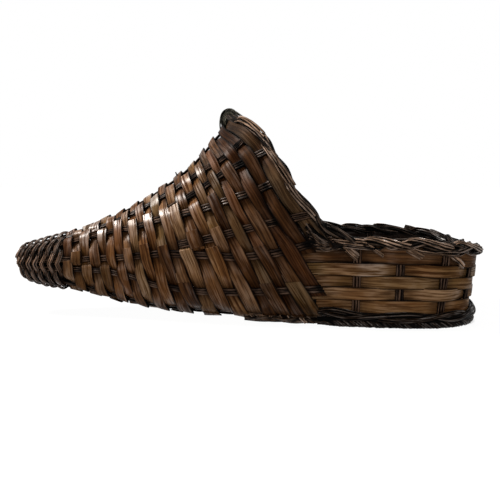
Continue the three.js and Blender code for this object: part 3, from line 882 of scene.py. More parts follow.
@dataclass
class HornStrips(StripWork):
    """The horn's rows: flat strips woven round the ribs, each row pieced from two or three strips."""

    seed: int = 410
    half_row: float = 0.54
    crown: float = 0.18
    lift: float = 0.95
    tail: float = 4.5
    # The first row that is pieced from three strips
    wide_row: int = 10

    def build(self) -> None:
        """Make every row of the horn."""
        for row in range(HORN.LAST_ROW + 1):
            self.rng.seed(self.seed + row)
            name = f"horn_strip_{row + 1:02d}"
            self.place(self.row_parts(row), f"{name}_reed", name)

    @staticmethod
    def crossings(row: int) -> list[tuple[float, float, float]]:
        """Return where a row crosses the ribs.

        Args:
            row: The row, counted from the first flat strip.

        Returns:
            Each crossing's degrees, half the degrees that the strip rests there, and how far out it lies.
        """
        found = []
        for rib in RIBS.crossed(row):
            angle = rib.angle(row)
            half = HORN.degrees_for(row, angle, RIBS.width(row) / 2 + WEAVE.laid_rest)
            found.append((angle, half, WEAVE.offset if RIBS.outside(row, rib) else -WEAVE.offset))
        return found

    def row_parts(self, row: int) -> list[Piece]:
        """Make the strips of one row.

        Args:
            row: The row, counted from the first flat strip.

        Returns:
            The row's strips.
        """
        crossings = self.crossings(row)
        count = len(crossings)
        if row > HORN.LAST_FULL_ROW:
            return [self.strip(row, crossings, 0, count - 1, False)]
        outer = [i for i, (_, _, out) in enumerate(crossings) if out > 0]
        pieces = 2 if row < self.wide_row else 3
        first = self.rng.randrange(len(outer))
        picks = sorted({outer[(first + round(k * len(outer) / pieces)) % len(outer)] for k in range(pieces)})
        ends = picks[1:] + [picks[0] + count]
        return [self.strip(row, crossings, start, end, True) for start, end in zip(picks, ends)]

    def strip(self, row: int, crossings: list[tuple[float, float, float]], first: int, last: int,
              lapped: bool) -> Piece:
        """Make one strip, from one crossing to another.

        Args:
            row: The row it belongs to.
            crossings: The row's crossings.
            first: The crossing where it starts.
            last: The crossing where it ends, past the row's count if it goes on round.
            lapped: Whether its end lies on the next strip's start.

        Returns:
            The strip.
        """
        def crossing(i: int) -> tuple[float, float, float]:
            """Return a crossing, counted on past a full turn."""
            turns, k = divmod(i, len(crossings))
            angle, half, out = crossings[k]
            return angle + 360 * turns, half, out

        stops: list[Pair] = []
        for i in range(first, last + 1):
            angle, half, out = crossing(i)
            if lapped and i == last:
                out += self.lift
            bulge = 0.35 if out > 0 else -0.2
            if i == first:
                reach = HORN.degrees_for(row, angle, self.tail * self.rng.uniform(0.4, 0.9))
                stops.append((angle - half - reach, out - 0.75))
            else:
                before, wide, came = crossing(i - 1)
                stops += passage((before + wide, came), (angle - half, out), 5, lambda t: (t + smooth(t)) / 2)
            stops += [(angle + half * share, out + bulge * up)
                      for share, up in ((-1, 0), (-0.5, 0.7), (0, 1), (0.5, 0.7), (1, 0))]
            if i == last:
                reach = HORN.degrees_for(row, angle, self.tail * self.rng.uniform(0.7, 1.5))
                stops.append((angle + half + reach * 0.5, out - 0.05))
                stops.append((angle + half + reach, out - (0.2 if lapped else 1.0)))
        return self.laid(row, stops)

    @staticmethod
    def within_turn(degrees: float) -> float:
        """Return degrees round the horn as -90 to 270."""
        return (degrees + 90) % 360 - 90

    @classmethod
    def fan(cls, edge: float, degrees: float) -> float:
        """Return how far an edge between two of the last rows moves towards the border, in rows."""
        place = cls.within_turn(degrees)
        room = BORDER.mouth_row(max(min(place, 180 - place), BORDER.MOUTH_FROM)) - 23.7
        return max(0.0, room) * max(0.0, (edge - 19.5) / 4)

    def laid(self, row: int, stops: list[Pair]) -> Piece:
        """Lay one strip of the horn through its stops.

        Args:
            row: The row it belongs to.
            stops: Degrees round the horn and how far out, in order.

        Returns:
            The strip.
        """
        half = self.half_row * self.rng.uniform(0.95, 1.04)
        drift = self.rng.uniform(-0.03, 0.03)
        waves = [(self.rng.uniform(low, high), self.phase()) for low, high in ((60, 110), (24, 38), (35, 60))]
        # Rows near the tip and the tray are darker and duller, and those between are polished by use
        dull = 0.42 * ramp(row, 14, 18) + 0.4 * ramp(row, 19, 22) + 0.2 * ramp(row, 6, 0)
        shine = ramp(row, -1, 2) * ramp(row, 21, 18)
        places = np.empty((len(stops), len(ACROSS), 3))
        depth, glint = np.empty(len(stops)), np.empty(len(stops))
        for i, (degrees, out) in enumerate(stops):
            long, short, tilt = (math.sin(degrees / wave * TURN + phase) for wave, phase in waves)
            low, high = self.fan(row - 0.5, degrees), self.fan(row + 0.5, degrees)
            middle = row + drift + 0.045 * long + 0.03 * short + (low + high) / 2
            level = out / WEAVE.offset
            wide = half * (0.96 + 0.1 * smooth(level) - 0.04 * smooth(-level)) * (1 + high - low)
            roll = 0.1 + 0.85 * tilt
            place = self.within_turn(degrees)
            # Painted shade where the strip passes inside, and under the peak loop
            peak = ramp(min(place, 180 - place), 38, 60) * ramp(row, 20.5, 22)
            depth[i] = max(lerp(WEAVE.depth(level), 1.0, dull), 1.35 * peak)
            flank = ramp(place, 18, 40) * ramp(place, 165, 135)
            glint[i] = shine * flank * ramp(level, 0.45, 1.0) * (0.6 + 0.4 * math.sin(place / 9 + row * 2.3))
            for j, w in enumerate(ACROSS):
                rise = self.crown * (1 - w * w) + roll * w
                places[i, j] = HORN.point(middle + w * wide, degrees, out + rise)
        tone = self.rng.random() * lerp(0.45, 1.0, ramp(row, 1, 10)) * lerp(1.0, 0.3, ramp(row, 13, 19))
        return Bench.sheet(places, self.thickness, tone, depth, self.rng.uniform(0, self.stock), glint)


class BorderLine:
    """The closed line of the twisted border: over the mouth from its near side, and back round the rim."""

    # Degrees round the horn, each with the row that the border lies on
    MOUTH = Curve(((-3, 24.38), (10, 24.3), (21, 24.6), (32, 24.93), (43, 25.19), (53, 25.06), (72, 24.19),
                   (90, 24)))
    MOUTH_FROM = -3.0
    RIM_FROM = 124.0
    POINTS = 40
    FINER = 12
    TURNS = 12
    # Over the mouth the rope is thinner, and lies further out by as much
    ARCH_SIZE = 0.8
    ARCH_REACH = 5.5
    FORWARD = (0.9, 0.0, 0.45)

    def __init__(self) -> None:
        """Draw the line through its corners."""
        corners = [HORN.point(self.mouth_row(angle), angle)
                   for angle in steps(self.MOUTH_FROM, 180 - self.MOUTH_FROM, self.POINTS)]
        corners += [TRAY.point(angle, TRAY.rim_z(angle))
                    for angle in steps(self.RIM_FROM, -self.RIM_FROM, self.POINTS)]
        count = len(corners)
        line = [catmull([corners[(i + k) % count] for k in (-1, 0, 1, 2)], j / self.FINER)
                for i in range(count) for j in range(self.FINER)]
        self.line = np.array([*line, line[0]])

    @classmethod
    def mouth_row(cls, degrees: float) -> float:
        """Return the row that the border lies on at a place over the mouth."""
        return cls.MOUTH(min(degrees, 180 - degrees))

    def spaced(self, count: int) -> Array:
        """Return points at equal lengths round the closed line."""
        return evenly(self.line, count, closed=True)

    @cache
    def frames(self, count: int) -> tuple[Array, Array, Array, Array]:
        """Return spaced points with what the rope needs there.

        Args:
            count: How many points.

        Returns:
            The points, the directions away from the middle and across the line, and the rope's size.
        """
        centres = self.spaced(count)
        along = ahead_of(centres, closed=True)
        size = np.array([lerp(1.0, self.ARCH_SIZE, ramp(z, 82, 107)) for z in centres[:, 2]])
        away = square_to(along, centres - centres.mean(0))
        forward = square_to(along, np.array(self.FORWARD))
        return centres + forward * ((1 - size) * self.ARCH_REACH)[:, None], away, np.cross(along, away), size


BORDER = BorderLine()


@dataclass
class RimBorder(SubAssembly):
    """The twisted border: two strands of thin canes round the mouth and the tray's rim."""

    slot: Slot = Slot.BORDER
    seed: int = 77
    canes: int = 7
    cane_radius: float = 0.92
    strand_radius: float = 1.95
    core_radius: float = 1.35
    filling_radius: float = 2.0
    orbit: float = 2.75
    points: int = 300

    def build(self) -> None:
        """Make both strands."""
        for strand in range(2):
            self.rng.seed(self.seed + strand)
            name = f"border_strand_{strand + 1}"
            self.place(self.strand(strand), f"{name}_canes", name)

    def strand(self, strand: int) -> list[Piece]:
        """Make the canes of one strand, with a core in painted shade.

        Args:
            strand: 0 or 1, half a turn apart. The first one also has the filling between both, in painted
                shade.

        Returns:
            The canes.
        """
        centres, away, across, size = BORDER.frames(self.points)
        share = TURN * np.arange(self.points) / self.points
        twist = share * BORDER.TURNS + math.pi * strand
        twist += 0.3 * np.sin(share * 7 + strand * 2) + 0.15 * np.sin(share * 17)
        middle = centres + around(away, across, twist) * (self.orbit * size)[:, None]
        loose = 1 + 0.14 * np.sin(share * 13 + strand) + 0.1 * np.sin(share * 29 + 2 * strand)
        # The core and the filling are painted in full shade
        parts = [Bench.tube(middle, self.core_radius * size, 0.0, 1.0, True, away)]
        if strand == 0:
            parts.append(Bench.tube(centres, self.filling_radius * size, 0.0, 1.0, True, away))
        # The strands' canes get painted shade, deeper over the mouth
        under = 0.6 + 0.25 * (1 - size) / (1 - BORDER.ARCH_SIZE)
        for k in range(self.canes):
            waves = ((self.rng.randint(5, 9), 0.3), (self.rng.randint(15, 23), 0.15))
            place = TURN * k / self.canes + sum(np.sin(share * n + self.phase()) * most for n, most in waves)
            ripple = 0.2 * np.sin(share * self.rng.randint(19, 31) + self.phase())
            reach = self.strand_radius * size * loose + ripple
            radial = around(away, across, place)
            radii = self.cane_radius * self.rng.uniform(0.85, 1.08) * size**0.5
            parts.append(self.cane(middle + radial * reach[:, None], radii, high=0.35, depth=under,
                                   closed=True, guide=radial, nook=Nook.BEHIND))
        return parts


@dataclass
class BorderBundles(SubAssembly):
    """Short cut bundles that lie along the border over the mouth, and on the far rim."""

    slot: Slot = Slot.BORDER
    seed: int = 88
    radius: float = 1.08
    spacing: float = 2.3
    rope_points: int = 600
    arch_steps: int = 16
    long_steps: int = 18
    rim_canes: int = 4

    # Each bundle over the mouth: degrees at its start and end, its place across the rope there, canes, tone
    ARCH = (
        (66, 40, -1.2, 2.0, 3, 1.0), (56, 30, -2.8, 0.2, 2, 0.1), (40, 16, -2.4, -0.2, 3, 0.75),
        (22, -2, -2.6, 0.6, 3, 0.25), (44, 24, 2.2, -1.6, 2, 0.3),
    )
    # Each long bundle round the rim: x and degrees round the rope at its start and end, reach, canes, tone
    LONG = (
        (60, 50, 106, 16, 5.3, 3, 0.9), (80, -20, 120, -66, 5.4, 2, 0.1), (98, 70, 148, -26, 5.9, 3, 0.85),
        (118, -70, 160, 36, 5.0, 2, 0.3), (134, 76, 180, -4, 5.9, 3, 0.6), (142, -50, 192, -76, 6.4, 2, 0.9),
        (152, -62, 186, -40, 6.0, 2, 0.1), (168, -60, 202, 46, 5.2, 2, 0.2), (178, 80, 211, -6, 5.9, 3, 0.9),
        (190, -46, 213, -10, 5.6, 2, 0.5),
    )
    # Each bundle on the far rim: x where it starts and ends, and how far its cut end stands up
    RIM = ((138, 174, 2.4), (172, 204, 4.0), (197, 214, 3.4), (96, 136, 1.4))

    def build(self) -> None:
        """Make every bundle."""
        self.rng.seed(self.seed)
        parts = []
        for side in Side:
            for sizes in self.ARCH:
                parts += self.arch_bundle(side, sizes)
            for sizes in self.LONG:
                parts += self.long_bundle(side, sizes)
        self.place(parts, "border_bundles")
        self.place([cane for sizes in self.RIM for cane in self.rim_bundle(sizes)], "rim_ends")

    def rope_at(self, degrees: float) -> tuple[Array, Array, Array]:
        """Find the rope over the mouth.

        Args:
            degrees: Place round the horn.

        Returns:
            The rope's middle, and the directions out of the horn and across the rope, towards its front.
        """
        centres = BORDER.frames(self.rope_points)[0]
        row = BORDER.mouth_row(degrees)
        spot = HORN.point(row, degrees)
        index = int(np.argmin(np.linalg.norm(centres - np.array(spot), axis=1)))
        along = unit(centres[(index + 2) % self.rope_points] - centres[index - 2])
        face = square_to(along, np.array(HORN.point(row, degrees, 1.0) - spot))
        rise = np.cross(along, face)
        return centres[index], face, rise if rise[0] + rise[2] * 0.5 > 0 else -rise

    def arch_bundle(self, side: Side, sizes: tuple[float, ...]) -> list[Piece]:
        """Make one bundle that lies on the rope over the mouth.

        Args:
            side: The basket's side.
            sizes: Its row of the table.

        Returns:
            The canes.
        """
        first, last, inner, outer, canes, tone = sizes
        places = steps(first, last, self.arch_steps)
        rope = [self.rope_at(degrees if side is Side.NEAR else 180 - degrees) for degrees in places]
        middle, face, rise = (np.array(rows) for rows in zip(*rope))
        middle[1:-1] = (middle[:-2] + middle[1:-1] + middle[2:]) / 3
        share = np.array(steps(0, 1, self.arch_steps))
        parts = []
        for offset in side_by_side(canes):
            place = inner + (outer - inner) * share + offset * self.spacing
            place += 0.35 * np.sin(share * 6 + self.phase())
            hug = np.sqrt(np.maximum(3.0, 5.1**2 - place**2)) - 0.5
            hug += np.array([lerp(-2.6, 0.6, ramp(s, 0, 0.25)) - 1.6 * ramp(s, 5 / 6, 1) for s in share])
            hug += self.rng.uniform(-0.15, 0.3)
            points = middle + rise * place[:, None] + face * hug[:, None]
            keep = len(points) - self.rng.randrange(4)
            parts.append(self.cane(points[:keep], self.radius * self.rng.uniform(0.88, 1.1), 0.7 * tone, tone,
                                   guide=face[:keep], nook=Nook.BESIDE))
        return parts

    def long_bundle(self, side: Side, sizes: tuple[float, ...]) -> list[Piece]:
        """Make one long bundle that winds a part of a turn round the rim's rope.

        Args:
            side: The basket's side.
            sizes: Its row of the table.

        Returns:
            The canes.
        """
        x0, turn0, x1, turn1, reach, canes, tone = sizes
        parts = []
        for offset in side_by_side(canes):
            phase = self.phase()
            points, guide = [], []
            for t in steps(0, 1, self.long_steps):
                degrees = side * TRAY.far_angle_at(lerp(x0, x1, t))
                turn = math.radians(lerp(turn0, turn1, smooth(t))) + offset * self.spacing / reach
                turn += 0.05 * math.sin(5 * t + phase)
                away = reach - 3.4 * smooth(1 - 6 * min(t, 1 - t)) + 0.2 * math.sin(9 * t + phase)
                out = TRAY.wall_frame(degrees, TRAY.UPPER_WALL_Z)[1]
                guide.append(out * math.cos(turn) + UP * math.sin(turn))
                points.append(TRAY.point(degrees, TRAY.rim_z(degrees)) + guide[-1] * away)
            keep = len(points) - self.rng.randrange(3)
            parts.append(self.cane(points[:keep], self.radius * self.rng.uniform(0.85, 1.05), 0.75 * tone,
                                   tone, guide=guide[:keep], nook=Nook.BESIDE))
        return parts

    def rim_bundle(self, sizes: tuple[float, ...]) -> list[Piece]:
        """Make one bundle on the far rim, whose cut end stands up.

        Args:
            sizes: Its row of the table.

        Returns:
            The canes.
        """
        start, end, stand = sizes
        parts = []
        for k in range(self.rim_canes):
            points = []
            for t in steps(0, 1, 10):
                degrees = TRAY.far_angle_at(min(lerp(start, end, t) - k * 0.5, 214.0))
                rise = lerp(3.2 + stand, 2.0, smooth(t * 1.1)) - k * 1.45
                points.append(TRAY.point(degrees, TRAY.rim_z(degrees) + rise, lerp(-1.0, 2.5, t)))
            # These canes get painted shade
            parts.append(self.cane(points, self.rng.uniform(0.8, 1.0), high=0.5, depth=0.7))
        return parts


@dataclass
class RibBundles(SubAssembly):
    """The horn's ribs: three or four round canes side by side, from the tip to the border or the front."""

    seed: int = 900
    step: float = 2.5
    sway: float = 0.35
    # Before this row the binding holds the ribs, and they run straight
    woven_from: float = -0.5
    # A cane's share of its place in the bundle
    fill: float = 0.98

    # The ribs that run on along the floor, each with the degrees where it comes up the front wall
    FRONTS = {"rib_bottom": 0.0, "rib_near_1": -TRAY.FRONT_ANGLE, "rib_far_1": TRAY.FRONT_ANGLE}

    def build(self) -> None:
        """Make every rib."""
        for rib in RIBS.ribs:
            track, rows = self.horn_track(rib)
            if rib.name in self.FRONTS:
                self.run_to_front(rib, track, self.FRONTS[rib.name])
            self.make(rib, track, rows)

    @staticmethod
    def end_row(rib: Rib) -> float:
        """Return the row where a rib of the side ends: under the border or at the tray's wall."""
        last = max(row for row in range(1, HORN.LAST_ROW + 1) if rib in RIBS.crossed(row))
        if last < HORN.LAST_ROW:
            return last + 0.9
        return BORDER.mouth_row(rib.angle(HORN.LAST_ROW)) - 0.05

    def horn_track(self, rib: Rib) -> tuple[Track, list[float]]:
        """Lay a rib along the horn, pressed in and out by its strips.

        Args:
            rib: The rib.

        Returns:
            Its line, and each point's row.
        """
        end = HORN.LAST_FULL_ROW if rib.name in self.FRONTS else self.end_row(rib)
        rows = [rib.start + 0.5 * k for k in range(int((end - rib.start) / 0.5) + 1)]
        if end - rows[-1] > 0.1:
            rows.append(end)
        track = Track()
        for row in rows:
            centre, side, out = HORN.frame_at(row, rib.angle(row))
            press = -self.sway * RIBS.beat(row, rib) if row > self.woven_from else 0.0
            track.add(centre + out * press, side, out)
        return track, rows

    @staticmethod
    def run_to_front(rib: Rib, track: Track, degrees: float) -> None:
        """Carry a bottom rib on along the tray's floor and up the front wall.

        Args:
            rib: The rib.
            track: Its line so far, which is added to.
            degrees: Where it comes up the wall.
        """
        start = HORN.point(HORN.LAST_FULL_ROW, rib.angle(HORN.LAST_FULL_ROW))
        foot = TRAY.point(degrees, TRAY.FLOOR_Z, -TRAY.BEND)
        near, down = Vector((0, -1, 0)), -UP
        side, out = TRAY.wall_frame(degrees, TRAY.FLOOR_Z)
        ease = start.lerp(foot, TRAY.FLOOR_EASE / (foot.x - start.x))
        ease.z = TRAY.FLOOR_Z
        track.add(ease, near, down)
        track.add(foot, near, down)
        cut = TRAY.BEND * TRAY.BEND_SHARE
        track.add(TRAY.point(degrees, TRAY.FLOOR_Z, -cut) + UP * cut, -side, out - UP)
        for z in reversed(TRAY.stake_heights(degrees)):
            track.add(TRAY.point(degrees, z), -side, out)

    def covered(self, rib: Rib, row: float) -> float:
        """Return how far a rib lies under the strips at a row, 0 in the middle of what shows, for its painted
        shade.
        """
        if not self.woven_from <= row <= HORN.LAST_ROW:
            return 0.0
        return smooth(0.75 + 0.75 * RIBS.beat(row, rib))

    def make(self, rib: Rib, track: Track, rows: list[float]) -> None:
        """Make a rib's canes along its line.

        Args:
            rib: The rib.
            track: Its line.
            rows: The rows of the line's first points, as far as it runs along the horn.
        """
        self.rng.seed(self.seed + rib.index)
        canes = 4 if rib.index % 3 == 1 else 3
        given = lengths_along(np.array(track.centres))
        past = [HORN.LAST_ROW + 1.0] * (len(given) - len(rows))
        fine = track.refined(self.step)
        found = lengths_along(np.array(fine.centres))
        at = np.interp(found / found[-1], given / given[-1], rows + past)
        spacing = np.array([RIBS.width(row) for row in at]) / canes
        # The canes get painted shade where the strips cover them
        depth = np.array([self.covered(rib, row) for row in at])
        parts = self.bundle(fine, canes, spacing / 2 * self.fill, spacing, depth)
        self.place(parts, f"{rib.name}_canes", rib.name)


@dataclass
class TipBinding(SubAssembly):
    """The bound tip: two bundles of fine cane twined round the ribs, row upon row."""

    slot: Slot = Slot.FINE_CANE
    seed: int = 60
    first: float = -7.3
    middle: float = -4.05
    last: float = -0.9
    canes: int = 4
    radius: float = 0.72
    points_in_turn: int = 84
    start_degrees: float = -20.0
    rise: float = 2.3
    slant: float = 0.38
    groups: int = 8
    core_sides: int = 20

    def build(self) -> None:
        """Make both lengths of the binding."""
        for number, (start, end) in enumerate(((self.first, self.middle), (self.middle, self.last)), 1):
            self.rng.seed(self.seed + number)
            name = f"tip_binding_{number}"
            parts = [cane for strand in range(2) for cane in self.strand(start, end, strand)]
            self.place([*parts, self.core(start, end)], f"{name}_canes", name)

    def core(self, start: float, end: float) -> Piece:
        """Make a core inside a length of the binding, painted in full shade.

        Args:
            start: The row where it starts.
            end: The row where it ends.

        Returns:
            The core.
        """
        rows = np.linspace(start + 0.25, end + 1.0, 14)
        middles = [(HORN.point(row, 90) + HORN.point(row, -90)) / 2 for row in rows]
        radii = np.array([HORN.section(row)[4] - 1.5 for row in rows])
        return Bench.tube(middles, radii, 0.0, 1.0, sides=self.core_sides)

    def strand(self, start: float, end: float, strand: int) -> list[Piece]:
        """Make the fine canes of one of the two twined bundles.

        Args:
            start: The row where they start.
            end: The row where they end.
            strand: 0 or 1, opposite each other.

        Returns:
            The canes.
        """
        rows = steps(start, end, round((end - start) * self.points_in_turn))
        parts = []
        for place in side_by_side(self.canes):
            points, depth, guide = [], [], []
            wander = self.phase()
            for i, row in enumerate(rows):
                degrees = 360 * (row - self.first) + self.start_degrees
                wave = math.pi * (degrees / 360 * self.groups + strand)
                over = math.cos(wave)
                mirror = 1 if math.sin(math.radians(degrees)) > 0 else -1
                spot = row + self.slant * math.sin(wave) * mirror + place * (0.115 + 0.02 * over)
                spot += 0.015 * math.sin(i * 0.23 + wander)
                out = self.rise * over + (0.55 - 0.3 * place * place) * (1 if over > 0 else -1)
                out += 0.2 * math.sin(i * 0.41 + wander)
                points.append(HORN.point(spot, degrees, out + 0.6))
                guide.append(HORN.point(spot, degrees, out + 1.6) - points[-1])
                # Where a strand passes under the other it gets painted shade
                depth.append(smooth(0.5 - over / 2))
            parts.append(self.cane(points, self.radius * self.rng.uniform(0.85, 1.12), depth=np.array(depth),
                                   guide=guide, sides=6, nook=Nook.BEHIND))
        return parts


@dataclass
class TrayWall(StripWork):
    """The tray's five wall rows: flat strips woven round the stakes and tucked into the horn."""

    seed: int = 500
    crown: float = 0.14
    lap: float = 0.9
    into_border: float = 5.2
    behind_foot: float = 4.5
    # The row with a worn patch on its near side
    worn_row: int = 2

    def build(self) -> None:
        """Make every wall row."""
        for row in range(1, TRAY.ROWS + 1):
            self.rng.seed(self.seed + row)
            self.place([self.strip(row)], f"wall_strip_{row}_reed", f"wall_strip_{row}")

    @staticmethod
    def stops(row: int) -> list[Pair]:
        """Return the places that a row passes.

        Args:
            row: The row, counted from the top.

        Returns:
            Degrees round the wall and how far out, from its near end in the horn to its far end.
        """
        lowest = row == TRAY.ROWS
        end = TRAY.angle_at(TRAY.LOWEST_STRIP_X if lowest else HORN.TRAY_START_X - TRAY.TUCK_LENGTH)
        start = TRAY.angle_at(TRAY.LOWEST_STRIP_X + WEAVE.rest if lowest else HORN.TRAY_START_X)
        rest = math.degrees((TRAY.STAKE_WIDTH / 2 + WEAVE.laid_rest) / TRAY.HALF)
        found = [(-end, 0.0), (-(end + start) / 2, 0.0), (-start, 0.0)]
        for i, angle in enumerate(TRAY.stakes()):
            out = WEAVE.offset if (row + i) % 2 == 0 else -WEAVE.offset
            found += passage(found[-1], (angle - rest, out), 6)
            bulge = 0.3 if out > 0 else -0.2
            found += [(angle - rest, out), (angle, out + bulge), (angle + rest, out)]
        found += passage(found[-1], (start, 0.0), 5)
        return found + [(start, 0.0), ((end + start) / 2, 0.0), (end, 0.0)]

    def strip(self, row: int) -> Piece:
        """Make one wall row.

        Args:
            row: The row, counted from the top.

        Returns:
            The row's strip.
        """
        stops = self.stops(row)
        places = np.empty((len(stops), len(ACROSS), 3))
        depth, glint = np.empty(len(stops)), np.empty(len(stops))
        wave = self.phase()
        for i, (degrees, out) in enumerate(stops):
            low, high = TRAY.row_edges(row, degrees)
            low -= self.behind_foot if row == TRAY.ROWS else self.lap
            high += self.into_border if row == 1 else self.lap
            sway = 0.5 * math.sin(degrees / 31 + wave) + 0.35 * math.sin(degrees / 6.5 + wave * 3)
            roll = 0.3 * math.sin(degrees / 11 + wave * 2)
            # Painted shade where the strip passes inside the stakes
            depth[i] = WEAVE.depth(out / WEAVE.offset)
            x, y = TRAY.plan(degrees, 50.0)
            glint[i] = (row == self.worn_row and y < 0) * ramp(x, 94, 100) * ramp(x, 124, 118)
            for j, w in enumerate(ACROSS):
                z = lerp(low, high, (w + 1) / 2) + sway
                places[i, j] = TRAY.point(degrees, z, out + self.crown * (1 - w * w) + roll * w)
        # The top row, under the rim, is painted into shade with a low tone and more depth
        tone = 0.3 if row == 1 else self.rng.uniform(0.8, 1.2)
        depth = depth * 0.7 + 0.3 * (row == 1)
        return Bench.sheet(places, self.thickness, tone, depth, self.rng.uniform(0, self.stock), glint)


@dataclass
class CrossCanes(SubAssembly):
    """Bundles of canes up the near wall, across the floor and up the far wall."""

    seed: int = 300
    canes: int = 3
    radius: float = 1.2
    spacing: float = 2.6
    step: float = 4.0

    def build(self) -> None:
        """Make the four bundles."""
        for number, angle in enumerate(TRAY.CROSS_ANGLES, 1):
            self.rng.seed(self.seed + number)
            parts = self.bundle(self.track(angle).refined(self.step), self.canes, self.radius, self.spacing)
            self.place(parts, f"cross_cane_{number}_canes", f"cross_cane_{number}")

    @staticmethod
    def track(angle: float) -> Track:
        """Lay a bundle's line.

        Args:
            angle: Its degrees round the wall.

        Returns:
            The line, from its near top to its far top.
        """
        floor_z = TRAY.FLOOR_Z + WEAVE.cane + WEAVE.clearance
        cut = TRAY.CROSS_BEND * TRAY.BEND_SHARE
        level = Vector((1, 0, 0))

        def half(way: Side) -> list[tuple[Vector, Vector, Vector]]:
            """Return the points of one side, from the top down to the floor."""
            degrees = way * angle
            side, out = TRAY.wall_frame(degrees, floor_z)
            found = []
            for z in TRAY.stake_heights(degrees):
                along, outward = TRAY.wall_frame(degrees, z)
                found.append((TRAY.point(degrees, z), along * -way, outward))
            found.append((TRAY.point(degrees, floor_z, -cut) + UP * cut, side * -way + level, out - UP))
            found.append((TRAY.point(degrees, floor_z) - Vector((0, way * TRAY.CROSS_BEND, 0)), level, -UP))
            return found

        track = Track()
        for centre, side, out in half(Side.NEAR) + half(Side.FAR)[::-1]:
            track.add(centre, side, out)
        return track


@dataclass
class FloorWeave(StripWork):
    """The tray's floor: strips that go back and forth between the cross canes, over and under three ribs."""

    seed: int = 700
    from_x: float = 70.0
    pitch: float = 9.3
    gap: float = 0.8
    crown: float = 0.25
    step: float = 4.0

    @staticmethod
    def half_at(x: float) -> float:
        """Return the wall's half width at a place along the floor."""
        beside = x <= TRAY.CENTRE_X
        return TRAY.plan(TRAY.angle_at(x) if beside else solve(lambda d: TRAY.plan(d, 0)[0], x, 0, 90), 0)[1]

    def build(self) -> None:
        """Make a strip for each space between the cross canes."""
        edge = TRAY.STAKE_WIDTH / 2 + WEAVE.clearance
        canes = [TRAY.point(angle, TRAY.FLOOR_Z).x for angle in TRAY.CROSS_ANGLES]
        starts = [self.from_x] + [x + edge for x in canes]
        for number, (x, start) in enumerate(zip(canes, starts), 1):
            room = x - edge - start
            passes = math.floor(room / self.pitch)
            self.rng.seed(self.seed + number)
            piece = self.weaver(start + (room - passes * self.pitch) / 2, passes)
            self.place([piece], f"floor_strip_{number}_reed", f"floor_strip_{number}")

    def weaver(self, start: float, passes: int) -> Piece:
        """Make one strip that goes back and forth.

        Args:
            start: Where its first pass begins along the floor.
            passes: How often it crosses the floor.

        Returns:
            The strip.
        """
        width = self.pitch - self.gap
        rest = TRAY.STAKE_WIDTH / 2 + WEAVE.rest
        inner = HORN.point(HORN.LAST_FULL_ROW, RIBS.ribs[1].angle(HORN.LAST_FULL_ROW))
        foot = TRAY.point(-TRAY.FRONT_ANGLE, TRAY.FLOOR_Z, -TRAY.BEND)
        turn = self.pitch / 2
        half = min(self.half_at(start), self.half_at(start + passes * self.pitch))
        end = half - turn - width / 2 - WEAVE.clearance
        track = Track()
        for k in range(passes):
            x = start + (k + 0.5) * self.pitch
            way = 1 if k % 2 == 0 else -1
            side = Vector((way, 0, 0))
            rib_y = abs(lerp(inner.y, foot.y, (x - inner.x) / (foot.x - inner.x)))
            track.add(Vector((x, -way * end, TRAY.FLOOR_Z)), side, -UP)
            for i, y in enumerate((-way * rib_y, 0.0, way * rib_y)):
                z = TRAY.FLOOR_Z + (WEAVE.offset if (k + i) % 2 == 0 else -WEAVE.offset)
                track.add(Vector((x, y - way * rest, z)), side, -UP)
                track.add(Vector((x, y + way * rest, z)), side, -UP)
            track.add(Vector((x, way * end, TRAY.FLOOR_Z)), side, -UP)
            if k < passes - 1:
                for angle in (math.pi / 4, math.pi / 2, 3 * math.pi / 4):
                    radial = Vector((-math.cos(angle), way * math.sin(angle), 0))
                    track.add(Vector((x + turn, way * end, TRAY.FLOOR_Z)) + radial * turn, radial * -way, -UP)
        fine = track.refined(self.step)
        places = np.array([[centre + side * (w * width / 2) + UP * (self.crown * (1 - w * w))
                            for w in (-1, 0, 1)] for centre, side in zip(fine.centres, fine.sides)])
        return Bench.sheet(places, self.thickness, self.rng.random(), 0.0, self.rng.uniform(0, self.stock))


